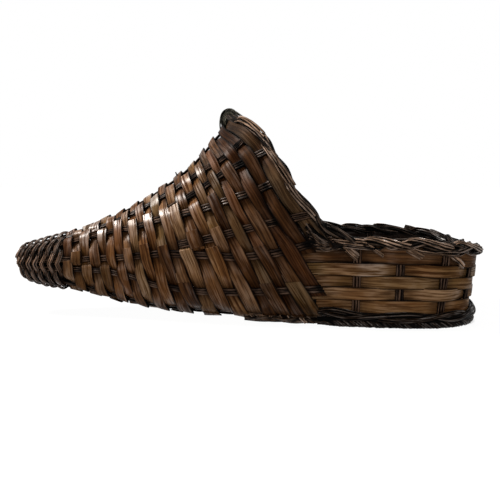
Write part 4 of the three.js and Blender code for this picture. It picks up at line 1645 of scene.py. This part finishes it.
@dataclass
class FootBraid(SubAssembly):
    """The foot border: two ropes of fine cane, one on the other, round the outside of the stakes."""

    slot: Slot = Slot.FOOT
    seed: int = 21
    cane_radius: float = 0.9
    point_gap: float = 2.2
    canes: int = 8
    pitch: float = 24.0
    wavy_canes: int = 6
    wave_length: float = 96.0
    # How far the upper rope rises at its ends, and over what length
    end_rise: float = 4.0
    rise_length: float = 30.0

    def build(self) -> None:
        """Make the lower and the upper rope."""
        for number, (name, rope) in enumerate((("lower", self.twisted), ("upper", self.wavy))):
            self.rng.seed(self.seed + number)
            self.place(rope(), f"foot_border_{name}_canes", f"foot_border_{name}")

    def line(self, z: float) -> tuple[Array, Array]:
        """Return evenly spaced points round the foot.

        Args:
            z: Their height.

        Returns:
            The points, and their outward directions.
        """
        middle_out = WEAVE.cane / 2 + TRAY.FOOT_CLEARANCE + TRAY.FOOT_WIDTH / 2
        line = np.array([TRAY.point(degrees, z, middle_out)
                         for degrees in steps(-TRAY.FOOT_ANGLE, TRAY.FOOT_ANGLE, 400)])
        centres = evenly(line, int(lengths_along(line)[-1] / self.point_gap))
        return centres, np.cross(ahead_of(centres), UP_ARRAY)

    def twisted(self) -> list[Piece]:
        """Make the lower rope, which is twisted to the left, with its core and what lies behind it, both in
        painted shade.

        Returns:
            The canes.
        """
        centres, out = self.line(TRAY.FOOT_BUNDLE / 2)
        places = lengths_along(centres)
        size = np.array([lerp(0.35, 1.0, smooth(min(p, places[-1] - p) / 22)) for p in places])
        wide, high = (out_by * ((whole / 2 - self.cane_radius) * size)[:, None]
                      for out_by, whole in ((out, TRAY.FOOT_WIDTH), (UP_ARRAY, TRAY.FOOT_BUNDLE)))
        parts = [Bench.tube(centres, 2.7 * size, depth=1.0),
                 Bench.tube(centres + UP_ARRAY * 3.6, 2.1, depth=1.0)]
        for k in range(self.canes):
            waves = ((7.0, 0.12), (19.0, 0.25))
            lump = sum(np.sin(places / wave + self.phase()) * most for wave, most in waves)
            angle = TURN * (k / self.canes - places / self.pitch) + lump * 0.6
            radial = around(wide, high, angle) * (1.05 + 0.35 * lump)[:, None]
            points = centres + radial
            points[:, 2] = np.maximum(points[:, 2], self.cane_radius * 1.02)
            radius = self.cane_radius * self.rng.uniform(0.8, 1.12)
            parts.append(self.cane(points, radius, guide=radial, nook=Nook.BEHIND))
        return parts

    def wavy(self) -> list[Piece]:
        """Make the upper rope: two strands that wind slowly round each other and rise at both ends.

        Returns:
            The canes.
        """
        centres, out = self.line(TRAY.FOOT_BUNDLE * 1.5 + WEAVE.clearance)
        # The filling behind the rope is painted in full shade
        parts = [Bench.tube((centres - out * 1.5)[6:-6], 2.9, depth=1.0)]
        places = lengths_along(centres)
        ends = np.minimum(places, places[-1] - places)
        lift = np.array([self.end_rise * smooth(1 - end / self.rise_length) for end in ends])
        centres = centres + UP_ARRAY * lift[:, None]
        for strand in range(2):
            twist = TURN * places / self.wave_length + math.pi * strand + 0.5 * np.sin(places / 23 + strand)
            middle = centres + around(out * 1.3, UP_ARRAY * 2.9, twist)
            # Each strand's core is painted in full shade
            parts.append(Bench.tube(middle - out * 1.2, 1.9, depth=1.0))
            for k in range(self.wavy_canes):
                place = TURN * k / self.wavy_canes + 0.4 * np.sin(places / 31 + self.phase())
                reach = 1.6 + 0.3 * np.sin(places / 9 + self.phase()) + 0.55 * np.sin(places / 27 + k)
                radial = around(out, UP_ARRAY, place)
                radius = self.cane_radius * self.rng.uniform(0.8, 1.1)
                line = middle + radial * reach[:, None]
                parts.append(self.cane(line, radius, guide=radial, nook=Nook.BEHIND))
        return parts


@dataclass
class PeakLoop(SubAssembly):
    """Thin canes bent over the border at the top of the mouth, and one that stands off behind them."""

    seed: int = 5
    layer_radius: float = 0.9
    hood_canes: int = 6
    hood_radius: float = 0.85
    loose_radius: float = 0.75
    tails: int = 7

    # Each layer: its canes, their reach from the top and their spacing, and degrees at its start and end
    LAYERS = ((6, 7.75, 1.55, 212.0, -30.0), (6, 6.35, 1.6, 235.0, -40.0), (6, 4.9, 1.6, 240.0, -50.0),
              (5, 3.4, 1.7, 245.0, -60.0))
    # The other lines' x, y and z, counted from the top of the mouth
    LOOSE = ((-6.2, -1.5, -19.0), (-8.6, -2.0, -12.0), (-9.0, -2.2, -4.0), (-7.2, -2.0, 3.5),
             (-2.5, -1.5, 7.6))
    CORE = ((-3.5, 0, -17), (-2.5, 0, -9), (-0.5, 0, -3), (1.5, 0, 0), (5, 0, -2.5), (9, 0, -7))
    CORE_RADII = (3.4, 4.0, 4.2, 4.2, 3.8, 2.6)

    def build(self) -> None:
        """Make the loop's canes."""
        self.rng.seed(self.seed)
        spaced = BORDER.spaced(400)
        top = spaced[int(np.argmax(spaced[:, 2]))] * (1, 0, 1)
        parts = [cane for sizes in self.LAYERS for cane in self.layer(top, sizes)]
        parts += [self.hood(top, side, k, 8.0 - 1.25 * k) for side in Side for k in range(self.hood_canes)]
        loose = smooth_line(top + np.array(self.LOOSE), 2.0)
        # The core that fills the loop is painted in shade
        parts += [Bench.tube(loose, self.loose_radius, 0.4, sides=7),
                  Bench.tube(top + np.array(self.CORE), self.CORE_RADII, 0.1, 0.6, sides=12)]
        parts += [self.tail(top, offset * 1.25) for offset in side_by_side(self.tails)]
        self.place(parts, "peak_loop_canes", "peak_loop")

    def layer(self, top: Array, sizes: tuple[float, ...]) -> list[Piece]:
        """Make one layer of canes bent over the border.

        Args:
            top: The top of the mouth.
            sizes: Its row of the table.

        Returns:
            The canes.
        """
        canes, reach, spacing, first, last = sizes
        track = Track()
        for angle in map(math.radians, steps(first, last, 14)):
            out = Vector((math.cos(angle), 0, math.sin(angle)))
            track.add(Vector(top) + out * reach, Vector((0, 1, 0)), out)
        return self.bundle(track.refined(2.0), canes, self.layer_radius, spacing)

    def hood(self, top: Array, side: Side, k: int, reach: float) -> Piece:
        """Make one of the canes that close the layers at a side, k from the outer one, by its reach."""
        line = [(top[0] + 0.4 + reach * math.cos(a), side * (5.4 + 0.75 * k + 0.8 * math.sin(a)),
                 top[2] - 0.5 + reach * math.sin(a) - 4 * smooth(-math.cos(a) * 2 - 0.4))
                for a in map(math.radians, steps(226, 14 - 9 * k, 12))]
        return self.cane(smooth_line(line, 1.5), self.hood_radius)

    def tail(self, top: Array, y: float) -> Piece:
        """Make one of the long canes that lie over all others, by its place across."""
        line = [(top[0] + x, y * share, top[2] + z) for x, share, z in (
            (-7.4, 1.2, -19 + abs(y)), (-7.0, 1.3, -9), (-4.2, 1.2, 3.4),
            (2.0, 1.1, 6.4 + self.rng.uniform(-1, 1)), (9.5, 1.0, 3.0),
            (17.0 + self.rng.uniform(-4, 3), 0.8, -4.5 + self.rng.uniform(-1, 1)))]
        return self.cane(smooth_line(line, 2.0), self.rng.uniform(0.7, 0.95))


@dataclass
class CaneEnds(SubAssembly):
    """Loose ends: stakes tucked under the rim, a cut stub, a tangle beside the mouth and ends below."""

    slot: Slot = Slot.BORDER
    seed: int = 31
    fine_canes: int = 20
    short_ends: int = 14
    under_z: float = 12.0

    # Each tuck on a wall: x and z at its start and end, how many canes, their radius
    TUCKS = (
        (82, 77, 97, 63.5, 3, 1.15), (104, 76, 119, 65.5, 2, 0.85), (136, 73, 152, 64.5, 3, 0.9),
        (178, 66, 189, 55.0, 2, 1.2), (60, 83, 76, 71.5, 3, 0.8),
    )
    SPLINTER = ((-68.5, -8, 130), (-70, -8.5, 133.5), (-71.6, -9, 136.8), (-72.9, -9.5, 139.6))
    # Each cane under an edge: its height, how far in from the edge, and its radius
    UNDER = ((2.6, 6.0, 1.3), (4.6, 4.2, 1.1), (1.6, 8.5, 1.2), (5.6, 8.0, 3.0))
    # The thick canes behind the tangle, painted in full shade: how far each lies below the first, and the
    # first one's line
    DROPS = (0.0, 4.5, 9.0, 13.5)
    WAD = ((0, 50, 93), (0.3, 57, 86), (0.65, 66, 79.5), (1, 80, 74))
    # The end of a cane at the tip: row, degrees round the horn and how far out
    TIP = ((-7.0, 60, 2.2), (-7.5, 52, 2.6), (-7.9, 40, 2.6), (-8.0, 25, 2.4))

    def build(self) -> None:
        """Make every loose end."""
        self.rng.seed(self.seed)
        parts = [cane for side in Side for sizes in self.TUCKS for cane in self.tuck(side, sizes)]
        splinter = smooth_line(self.SPLINTER, 1.5)
        parts.append(Bench.tube(splinter, np.linspace(1.5, 0.5, len(splinter)), 0.3, sides=6))
        self.place(parts, "tucked_ends")
        self.place([cane for side in Side for cane in self.tangle(side)], "tangle_by_mouth")
        self.place([cane for side in Side for cane in self.under_edge(side)], "ends_under_horn")
        tip = smooth_line([HORN.point(*place) for place in self.TIP], 1.5)
        self.place([Bench.tube(tip, 0.8, 0.7)], "tip_cane_end", slot=Slot.FINE_CANE)

    def tuck(self, side: Side, sizes: tuple[float, ...]) -> list[Piece]:
        """Make one bundle that comes from under the rim and lies slanting on the wall.

        Args:
            side: The basket's side.
            sizes: Its row of the table.

        Returns:
            The canes.
        """
        x0, z0, x1, z1, canes, radius = sizes
        parts = []
        for offset in side_by_side(canes):
            shift = offset * radius * 2.05
            points = []
            for t in steps(0, 1, 8):
                short = 0.12 * self.rng.random() * (t == 1)
                x = lerp(x0, x1, t * (1 - short)) + shift * 0.65
                z = lerp(z0, z1, t) + shift * 0.75
                out = lerp(1.0, 4.3, smooth(t * 2)) - 0.5 * smooth(t * 2 - 1)
                points.append(TRAY.point(side * TRAY.far_angle_at(x), z, out))
            parts.append(self.cane(points, radius * self.rng.uniform(0.9, 1.05), sides=7))
        return parts

    def under_edge(self, side: Side) -> list[Piece]:
        """Make the canes and short ends under the horn's lower edge, between its tip half and the foot.

        Args:
            side: The basket's side.

        Returns:
            The canes.
        """
        parts = []
        for z, inset, radius in self.UNDER:
            points = []
            for i, x in enumerate(steps(-5, 62, 14)):
                wide = TRAY.horn_half_at(x, self.under_z) - inset + 0.5 * math.sin(i * 1.3 + z)
                points.append((x, side * wide, z + 0.5 * math.sin(i * 0.9 + inset)))
            # These canes under the horn's edge get painted shade
            parts.append(Bench.tube(points, radius, self.rng.uniform(0, 0.5), 0.4))
        for _ in range(self.short_ends):
            x = self.rng.uniform(-4, 58)
            wide = TRAY.horn_half_at(x, self.under_z) - self.rng.uniform(3.5, 6.5)
            slant, rise = self.rng.uniform(3, 9), self.rng.uniform(3.5, 7)
            end = Vector((x + slant, side * wide, self.rng.uniform(0.9, 2.0)))
            start = Vector((x, side * (wide + 1.0), end.z + rise))
            line = [start.lerp(end, t) for t in steps(0, 1, 4)]
            parts.append(Bench.tube(line, self.rng.uniform(0.6, 0.9), self.rng.random(), sides=6))
        return parts

    def tangle(self, side: Side) -> list[Piece]:
        """Make the fine canes that fill the corner between the horn, the wall and the border.

        Args:
            side: The basket's side.

        Returns:
            The canes.
        """
        parts = []
        for drop in self.DROPS:
            points = [self.corner(side, x + drop * 0.2, z - drop * (1 - t), 0.4) for t, x, z in self.WAD]
            parts.append(Bench.tube(smooth_line(points, 3.0), 2.9, depth=1.0))
        for _ in range(self.fine_canes):
            x0 = self.rng.uniform(49, 60)
            x1 = x0 + self.rng.uniform(12, 27)
            z0 = lerp(95, 78, (x0 - 49) / 11) + self.rng.uniform(-12, 1)
            z1 = self.rng.uniform(70, 77)
            sag, lift = self.rng.uniform(-3, 3), self.rng.uniform(2.4, 3.8)
            points = [self.corner(side, lerp(x0, x1, t), lerp(z0, z1, t) + sag * math.sin(math.pi * t),
                                  lift + 0.5 * math.sin(5 * t)) for t in steps(0, 1, 8)]
            radius, tone = self.rng.uniform(0.55, 0.85), self.rng.random() ** 2
            start = self.rng.uniform(0, self.stock)
            # The fine canes get half the painted shade
            parts.append(Bench.tube(points, radius, tone, 0.5, sides=6, start=start))
        return parts

    @staticmethod
    def corner(side: Side, x: float, z: float, out: float) -> Vector:
        """Return a point on the horn's last strips, or further on by the wall.

        Args:
            side: The basket's side.
            x: Its place along the basket.
            z: Its height.
            out: How far it stands out from them.

        Returns:
            The point.
        """
        wall = abs(TRAY.plan(TRAY.far_angle_at(x), z)[1]) + 3.4
        horn = TRAY.horn_half_at(min(x, 66.0), z) + WEAVE.offset + 1.0
        return Vector((x, side * (lerp(horn, wall, ramp(x, 60, 78)) + out), z))


class Wire:
    """A shader socket that takes part in sums as a number does."""

    def __init__(self, board: "Board", socket: bpy.types.NodeSocket) -> None:
        """Keep the socket and the board that it is on."""
        self.board = board
        self.socket = socket

    def sum_with(self, operation: str, first: "Wire | float", second: "Wire | float" = 0.0) -> "Wire":
        """Add a Math node to the tree and return its result."""
        return self.board.node("Math", {0: first, 1: second}, operation=operation)

    def __add__(self, other: "Wire | float") -> "Wire":
        """Return this plus the other."""
        return self.sum_with("ADD", self, other)

    def __radd__(self, other: float) -> "Wire":
        """Return the other plus this."""
        return self.sum_with("ADD", other, self)

    def __sub__(self, other: "Wire | float") -> "Wire":
        """Return this minus the other."""
        return self.sum_with("SUBTRACT", self, other)

    def __rsub__(self, other: float) -> "Wire":
        """Return the other minus this."""
        return self.sum_with("SUBTRACT", other, self)

    def __mul__(self, other: "Wire | float") -> "Wire":
        """Return this times the other."""
        return self.sum_with("MULTIPLY", self, other)

    def power(self, exponent: float) -> "Wire":
        """Return this to a power."""
        return self.sum_with("POWER", self, exponent)

    def fraction(self) -> "Wire":
        """Return what this has after the decimal point."""
        return self.sum_with("FRACT", self)

    def or_more(self, other: "Wire") -> "Wire":
        """Return the larger of this and the other."""
        return self.sum_with("MAXIMUM", self, other)

    def above(self, low: float, high: float) -> "Wire":
        """Return 0 below the low number, 1 above the high one, and a ramp between."""
        return self.board.node("MapRange", {"Value": self, "From Min": low, "From Max": high}, clamp=True)


class Board:
    """The node tree of a material or of the surroundings, built from Python expressions."""

    MIDDLE = (SHIFT + Vector((50, 0, 62))) * MM

    def __init__(self, holder: bpy.types.Material | bpy.types.World) -> None:
        """Start an empty tree in its holder."""
        holder.use_nodes = True
        self.tree = holder.node_tree
        self.tree.nodes.clear()

    def node(self, kind: str, values: dict[str | int, object] | None = None, output: str | int = 0,
             **settings: object) -> Wire:
        """Add a node.

        Args:
            kind: The node's type.
            values: Its sockets' values or links, by name or number.
            output: Which of its results to return.
            **settings: Its settings.

        Returns:
            The result, ready for expressions.
        """
        node = self.tree.nodes.new(f"ShaderNode{kind}")
        for key, value in settings.items():
            setattr(node, key, value)
        for key, value in (values or {}).items():
            if isinstance(value, Wire):
                self.tree.links.new(value.socket, node.inputs[key])
            else:
                node.inputs[key].default_value = value
        return Wire(self, node.outputs[output])

    def close(self, surface: Wire, kind: str = "OutputMaterial") -> None:
        """Link a surface to the tree's output."""
        out = self.tree.nodes.new(f"ShaderNode{kind}")
        self.tree.links.new(surface.socket, out.inputs["Surface"])

    def mark(self, name: str) -> Wire:
        """Return a number that the piece keeps at each point."""
        return self.node("Attribute", output="Fac", attribute_name=name)

    def noise(self, x: Wire, y: Wire, z: Wire, detail: float = 2.0, rough: float = 0.5) -> Wire:
        """Return a noise pattern at unit scale, at a place given by three numbers."""
        place = self.node("CombineXYZ", {"X": x, "Y": y, "Z": z})
        values = {"Vector": place, "Scale": 1.0, "Detail": detail, "Roughness": rough}
        return self.node("TexNoise", values, "Fac")

    def lay(self) -> tuple[Wire, Wire]:
        """Return the length along and across the piece, in metres."""
        lay = self.node("UVMap", uv_map=LAY_MAP)
        return self.node("SeparateXYZ", {"Vector": lay}, "X"), self.node("SeparateXYZ", {"Vector": lay}, "Y")

    def blend(self, kind: str, factor: Wire | float, first: Wire | tuple, second: Wire | tuple) -> Wire:
        """Return a mix of two colours."""
        return self.node("Mix", {0: factor, 6: first, 7: second}, 2, data_type="RGBA", blend_type=kind)

    def shades(self, factor: Wire, *stops: tuple[float, tuple]) -> Wire:
        """Return a colour from a row of shades, each given with its place."""
        found = self.node("ValToRGB", {"Fac": factor})
        elements = found.socket.node.color_ramp.elements
        while len(elements) < len(stops):
            elements.new(1.0)
        for element, (place, colour) in zip(elements, stops):
            element.position = place
            element.color = colour
        return found

    def vectors(self, operation: str, first: Wire, second: Wire | tuple = (0.0, 0.0, 0.0),
                output: str = "Vector") -> Wire:
        """Return the result of a sum of vectors."""
        return self.node("VectorMath", {0: first, 1: second}, output, operation=operation)

    def inside(self) -> Wire:
        """Return 1 on the faces that look into the basket and 0 on those that look out, which the materials
        give painted shade.
        """
        out = self.vectors("SUBTRACT", self.node("TexCoord", output="Object"), tuple(self.MIDDLE))
        facing = self.vectors("DOT_PRODUCT", self.vectors("NORMALIZE", out),
                              self.node("TexCoord", output="Normal"), "Value")
        return (0 - facing).above(0.0, 0.3)

    def looked_at(self) -> Wire:
        """Return 1 where the camera looks, also in reflections, and 0 for light that falls on things."""
        camera, glossy, through = (self.node("LightPath", output=f"Is {ray} Ray")
                                   for ray in ("Camera", "Glossy", "Transmission"))
        return camera.or_more(glossy).or_more(through)


def srgb(red: int, green: int, blue: int) -> tuple[float, float, float, float]:
    """Return a colour given in screen values 0 to 255 as a linear one."""
    values = [c / 255 for c in (red, green, blue)]
    linear = [c / 12.92 if c <= 0.04045 else ((c + 0.055) / 1.055) ** 2.4 for c in values]
    return (*linear, 1.0)


WHITE = (1.0, 1.0, 1.0, 1.0)


@dataclass(frozen=True)
class Stained:
    """What all stained surfaces share: a satin coat over a matt body."""

    name: str = "stained_reed"
    rough: float = 0.4
    rougher: float = 0.3
    polish: float = 0.42
    body_shine: float = 0.02
    grain_strength: float = 0.7
    grain_depth: float = 0.0005

    def paint(self, board: Board) -> tuple[Wire, Wire, Wire, Wire]:
        """Return the colour, the fine grain, the height of its lines and the wear of the coat."""
        raise NotImplementedError

    def material(self) -> bpy.types.Material:
        """Make the material.

        Returns:
            The material.
        """
        material = bpy.data.materials.new(self.name)
        board = Board(material)
        colour, grain, height, worn = self.paint(board)
        bump = board.node("Bump", {"Strength": self.grain_strength, "Distance": self.grain_depth,
                                   "Height": height})
        board.close(board.node("BsdfPrincipled", {
            "Base Color": colour, "Roughness": self.rough + grain * self.rougher, "Normal": bump,
            "Specular IOR Level": self.body_shine, "Coat Weight": worn, "Coat Roughness": self.polish}))
        return material


@dataclass(frozen=True)
class StainedReed(Stained):
    """Flat reed strips, brown-stained with a satin sheen, with a long grain and worn streaks."""

    dark: tuple = srgb(44, 25, 11)
    middle: tuple = srgb(95, 62, 33)
    light: tuple = srgb(147, 113, 77)
    rust: tuple = srgb(104, 62, 36)
    olive: tuple = srgb(92, 76, 44)
    pale: tuple = srgb(130, 108, 84)
    grain_tint: tuple = srgb(120, 100, 84)
    # Painted shade: at the strip's edges, where it passes under others, on the edges of the parts that pass
    # under, and on faces that look into the basket
    edge_shade: tuple = srgb(26, 16, 10)
    under_shade: tuple = srgb(104, 82, 66)
    shut_shade: tuple = srgb(28, 17, 11)
    inside_shade: tuple = srgb(64, 48, 38)

    def paint(self, board: Board) -> tuple[Wire, Wire, Wire, Wire]:
        """Work out the surface.

        Args:
            board: The material's board.

        Returns:
            The colour, the fine grain, the height of its lines and the wear of the coat.
        """
        along, across = board.lay()
        tone, depth, rim = board.mark("tone"), board.mark("depth"), board.mark("edge")
        fine = board.noise(along * 30.0, across * 620.0, tone * 37.0, 3.0, 0.6)
        streak = board.noise(along * 9.0, across * 340.0, tone * 91.0)
        patch = board.noise(along * 45.0, across * 70.0, tone * 13.0)
        stretch = board.noise(along * 16.0, across * 20.0, tone * 71.0, 1.0)
        shade = tone * 0.45 + streak.above(0.32, 0.68) * 0.35 + patch * 0.35 + stretch * 0.4 - 0.31
        colour = board.shades(shade, (0.1, self.dark), (0.5, self.middle), (0.9, self.light))
        # Some strips lean to another colour
        for share, tint, amount in ((7.3, self.rust, 0.4), (13.7, self.olive, 0.5), (29.1, self.pale, 0.35)):
            kind = (tone * share).fraction().above(0.55, 0.9)
            colour = board.blend("MIX", kind * stretch.above(0.3, 0.6) * amount, colour, tint)
        # Masks for the painted shade at the edges, and at the edges of the parts that pass under others
        edge = rim.above(0.8, 0.96)
        shut = rim.power(3.0) * depth.above(0.35, 0.8)
        lines = 1 - fine.above(0.42, 0.54)
        # Grain lines darken the colour; the rest is painted shade at the edges, under other strips and on the
        # inside faces
        for share, tint in ((lines * 0.72, self.grain_tint), (edge * 0.97, self.edge_shade),
                            (depth * 0.6, self.under_shade), (shut * 0.97, self.shut_shade),
                            (board.inside() * 0.9, self.inside_shade)):
            colour = board.blend("MULTIPLY", share, colour, tint)
        polished = 0.04 + patch.above(0.44, 0.6) * 0.55 + board.mark("glint") * 1.6
        worn = polished * fine.above(0.42, 0.56) * (1 - depth.above(0.0, 1.0) * 0.9) * (1 - edge * 0.9)
        return colour, fine, fine * 0.7 + streak * 0.3, worn


@dataclass(frozen=True)
class StainedCane(Stained):
    """Round cane, dark-stained, with fine lengthwise lines."""

    dark: tuple = srgb(12, 13, 9)
    light: tuple = srgb(80, 78, 64)
    line_tint: tuple = srgb(110, 96, 90)
    # Painted shade where a cane lies under others or against its neighbours, and on faces that look into the
    # basket
    under_shade: tuple = srgb(20, 13, 10)
    inside_shade: tuple = srgb(90, 76, 66)
    gloss: float = 0.45
    sheen: float = 0.05
    rougher: float = 0.25
    polish: float = 0.3
    grain_strength: float = 0.4
    grain_depth: float = 0.0002

    def paint(self, board: Board) -> tuple[Wire, Wire, Wire, Wire]:
        """Work out the surface.

        Args:
            board: The material's board.

        Returns:
            The colour, the fine grain, the height of its lines and the wear of the coat.
        """
        along, across = board.lay()
        tone, depth = board.mark("tone"), board.mark("depth")
        # Where neighbouring canes lie against it, it gets painted shade
        nook = board.mark("nook").above(0.05, 0.4)
        fine = board.noise(along * 60.0, across * 1500.0, tone * 53.0)
        patch = board.noise(along * 70.0, across * 90.0, tone * 17.0).above(0.38, 0.62)
        colour = board.blend("MIX", (tone * 0.6 + patch * 0.8 - 0.32).above(0.0, 1.0), self.dark, self.light)
        lines = 1 - fine.above(0.3, 0.6)
        # Grain lines darken the colour; the rest is painted shade under others, between canes and on the
        # inside faces
        for share, tint in ((lines * 0.5, self.line_tint), (depth * 0.97, self.under_shade),
                            (nook * 0.98, self.under_shade), (board.inside() * 0.7, self.inside_shade)):
            colour = board.blend("MULTIPLY", share, colour, tint)
        worn = (self.sheen + patch * patch * self.gloss) * (1 - depth * 0.95) * (1 - nook)
        return colour, fine, fine, worn


@dataclass(frozen=True)
class Studio:
    """The floor, the lamps and the camera."""

    focal: float = 57.6
    sensor: float = 36.0
    distance: float = 796.2
    height: float = 140.07
    aim_height: float = 62.0
    lamp_aim: tuple = (0, 0, 0.06)
    lamp_colour: tuple = (1.0, 0.95, 0.89)
    # How strong the surroundings are as light, where 1 is what the camera sees
    air: float = 0.045
    # The middle of the painted shadow patch on the floor, in millimetres, and one over its half sizes in
    # metres
    shadow: tuple = (134, 0, 0)
    shadow_scale: tuple = (12.2, 12.0, 0.0)

    # Each lamp: its name, its place, the length of its side and its power
    LAMPS = (
        ("key", (-0.9, 0.1, 1.15), 0.3, 33.0), ("front", (0.2, -1.45, 0.5), 0.7, 6.8),
        ("left", (-1.1, -0.75, 0.45), 0.18, 3.5), ("top", (0.35, 0.1, 1.4), 0.3, 9.0),
    )

    def build(self) -> None:
        """Set up the floor, the world, the lamps and the camera."""
        self.floor()
        self.world()
        for lamp in self.LAMPS:
            self.lamp(*lamp)
        self.camera()

    def floor(self) -> None:
        """Lay a white floor that keeps the object's shadow, with a painted shadow patch under the basket."""
        Bench.clear()
        bpy.ops.mesh.primitive_plane_add(size=12)
        floor = bpy.context.active_object
        floor.name = "studio_floor"
        material = bpy.data.materials.new("studio_white")
        board = Board(material)
        lit = board.node("BsdfDiffuse", {"Color": (0.45, 0.45, 0.45, 1.0)})
        place = board.node("TexCoord", output="Object")
        reach = board.vectors("LENGTH", place, output="Value")
        glow = board.node("Emission", {"Color": WHITE, "Strength": 1.08 + reach.above(0.3, 1.3) * 0.1})
        under = board.vectors("SUBTRACT", place, tuple((SHIFT + Vector(self.shadow)) * MM))
        under = board.vectors("MULTIPLY", under, self.shadow_scale)
        under = board.vectors("LENGTH", board.vectors("MULTIPLY", under, under), output="Value")
        # Inside the ellipse under the basket the floor loses its white glow and shows its grey lit face, a
        # painted shadow patch that holds the real shadow
        seen = board.looked_at() * (under.above(0.8, 1.0) * 0.9)
        board.close(board.node("MixShader", {0: seen, 1: lit, 2: glow}))
        floor.data.materials.append(material)

    def world(self) -> None:
        """Make the surroundings white for the camera and in reflections, and softer as light."""
        world = bpy.data.worlds.new("studio_air")
        bpy.context.scene.world = world
        board = Board(world)
        strength = self.air + board.looked_at() * (1 - self.air)
        board.close(board.node("Background", {"Color": WHITE, "Strength": strength}), "OutputWorld")

    @staticmethod
    def put(name: str, data: bpy.types.ID, place: Vector, aim: Vector) -> Piece:
        """Put a lamp or a camera in the scene.

        Args:
            name: Its name.
            data: What it is.
            place: Where it stands, in metres.
            aim: Where it looks.

        Returns:
            The object.
        """
        found = bpy.data.objects.new(name, data)
        bpy.context.scene.collection.objects.link(found)
        found.location = place
        found.rotation_euler = (aim - place).to_track_quat("-Z", "Y").to_euler()
        return found

    def lamp(self, name: str, place: tuple[float, float, float], size: float, power: float) -> None:
        """Hang a soft square lamp that faces the basket.

        Args:
            name: The lamp's name.
            place: Where it hangs, in metres.
            size: The length of its side, in metres.
            power: Its power, in watts.
        """
        data = bpy.data.lights.new(f"lamp_{name}", "AREA")
        data.shape = "SQUARE"
        data.size = size
        data.energy = power
        data.color = self.lamp_colour
        self.put(f"lamp_{name}", data, Vector(place), Vector(self.lamp_aim))

    def camera(self) -> None:
        """Set up the camera at the photograph's place."""
        data = bpy.data.cameras.new("camera")
        data.lens = self.focal
        data.sensor_width = self.sensor
        data.clip_start = 0.01
        place = Vector((SHIFT.x, -self.distance, self.height)) * MM
        aim = Vector((SHIFT.x, 0, self.aim_height)) * MM
        bpy.context.scene.camera = self.put("camera", data, place, aim)


def main() -> None:
    """Build and dress the basket in order."""
    logging.basicConfig(level=logging.INFO, format="%(message)s")
    bpy.context.scene.view_settings.view_transform = "Standard"
    reed = StainedReed().material()
    cane = StainedCane("dark_cane", dark=srgb(20, 11, 7), light=srgb(98, 74, 58), gloss=0.22).material()
    border = StainedCane("border_cane", dark=srgb(13, 6, 3), light=srgb(158, 127, 103), gloss=1.2,
                         sheen=0.06).material()
    foot = StainedCane("foot_cane", dark=srgb(5, 2, 1), light=srgb(54, 37, 23), gloss=0.8,
                       sheen=0.02).material()
    fine = StainedCane("fine_cane", dark=srgb(16, 7, 3), light=srgb(142, 106, 79), gloss=1.3,
                       sheen=0.1).material()
    loop = StainedCane("loop_cane").material()
    for sub_assembly in (HornStrips(reed), RibBundles(cane), TipBinding(fine), RimBorder(border),
                         BorderBundles(border), TrayWall(reed), CrossCanes(cane), FloorWeave(reed),
                         FootBraid(foot), PeakLoop(loop), CaneEnds(border), Studio()):
        sub_assembly.build()


if __name__ == "__main__":
    main()
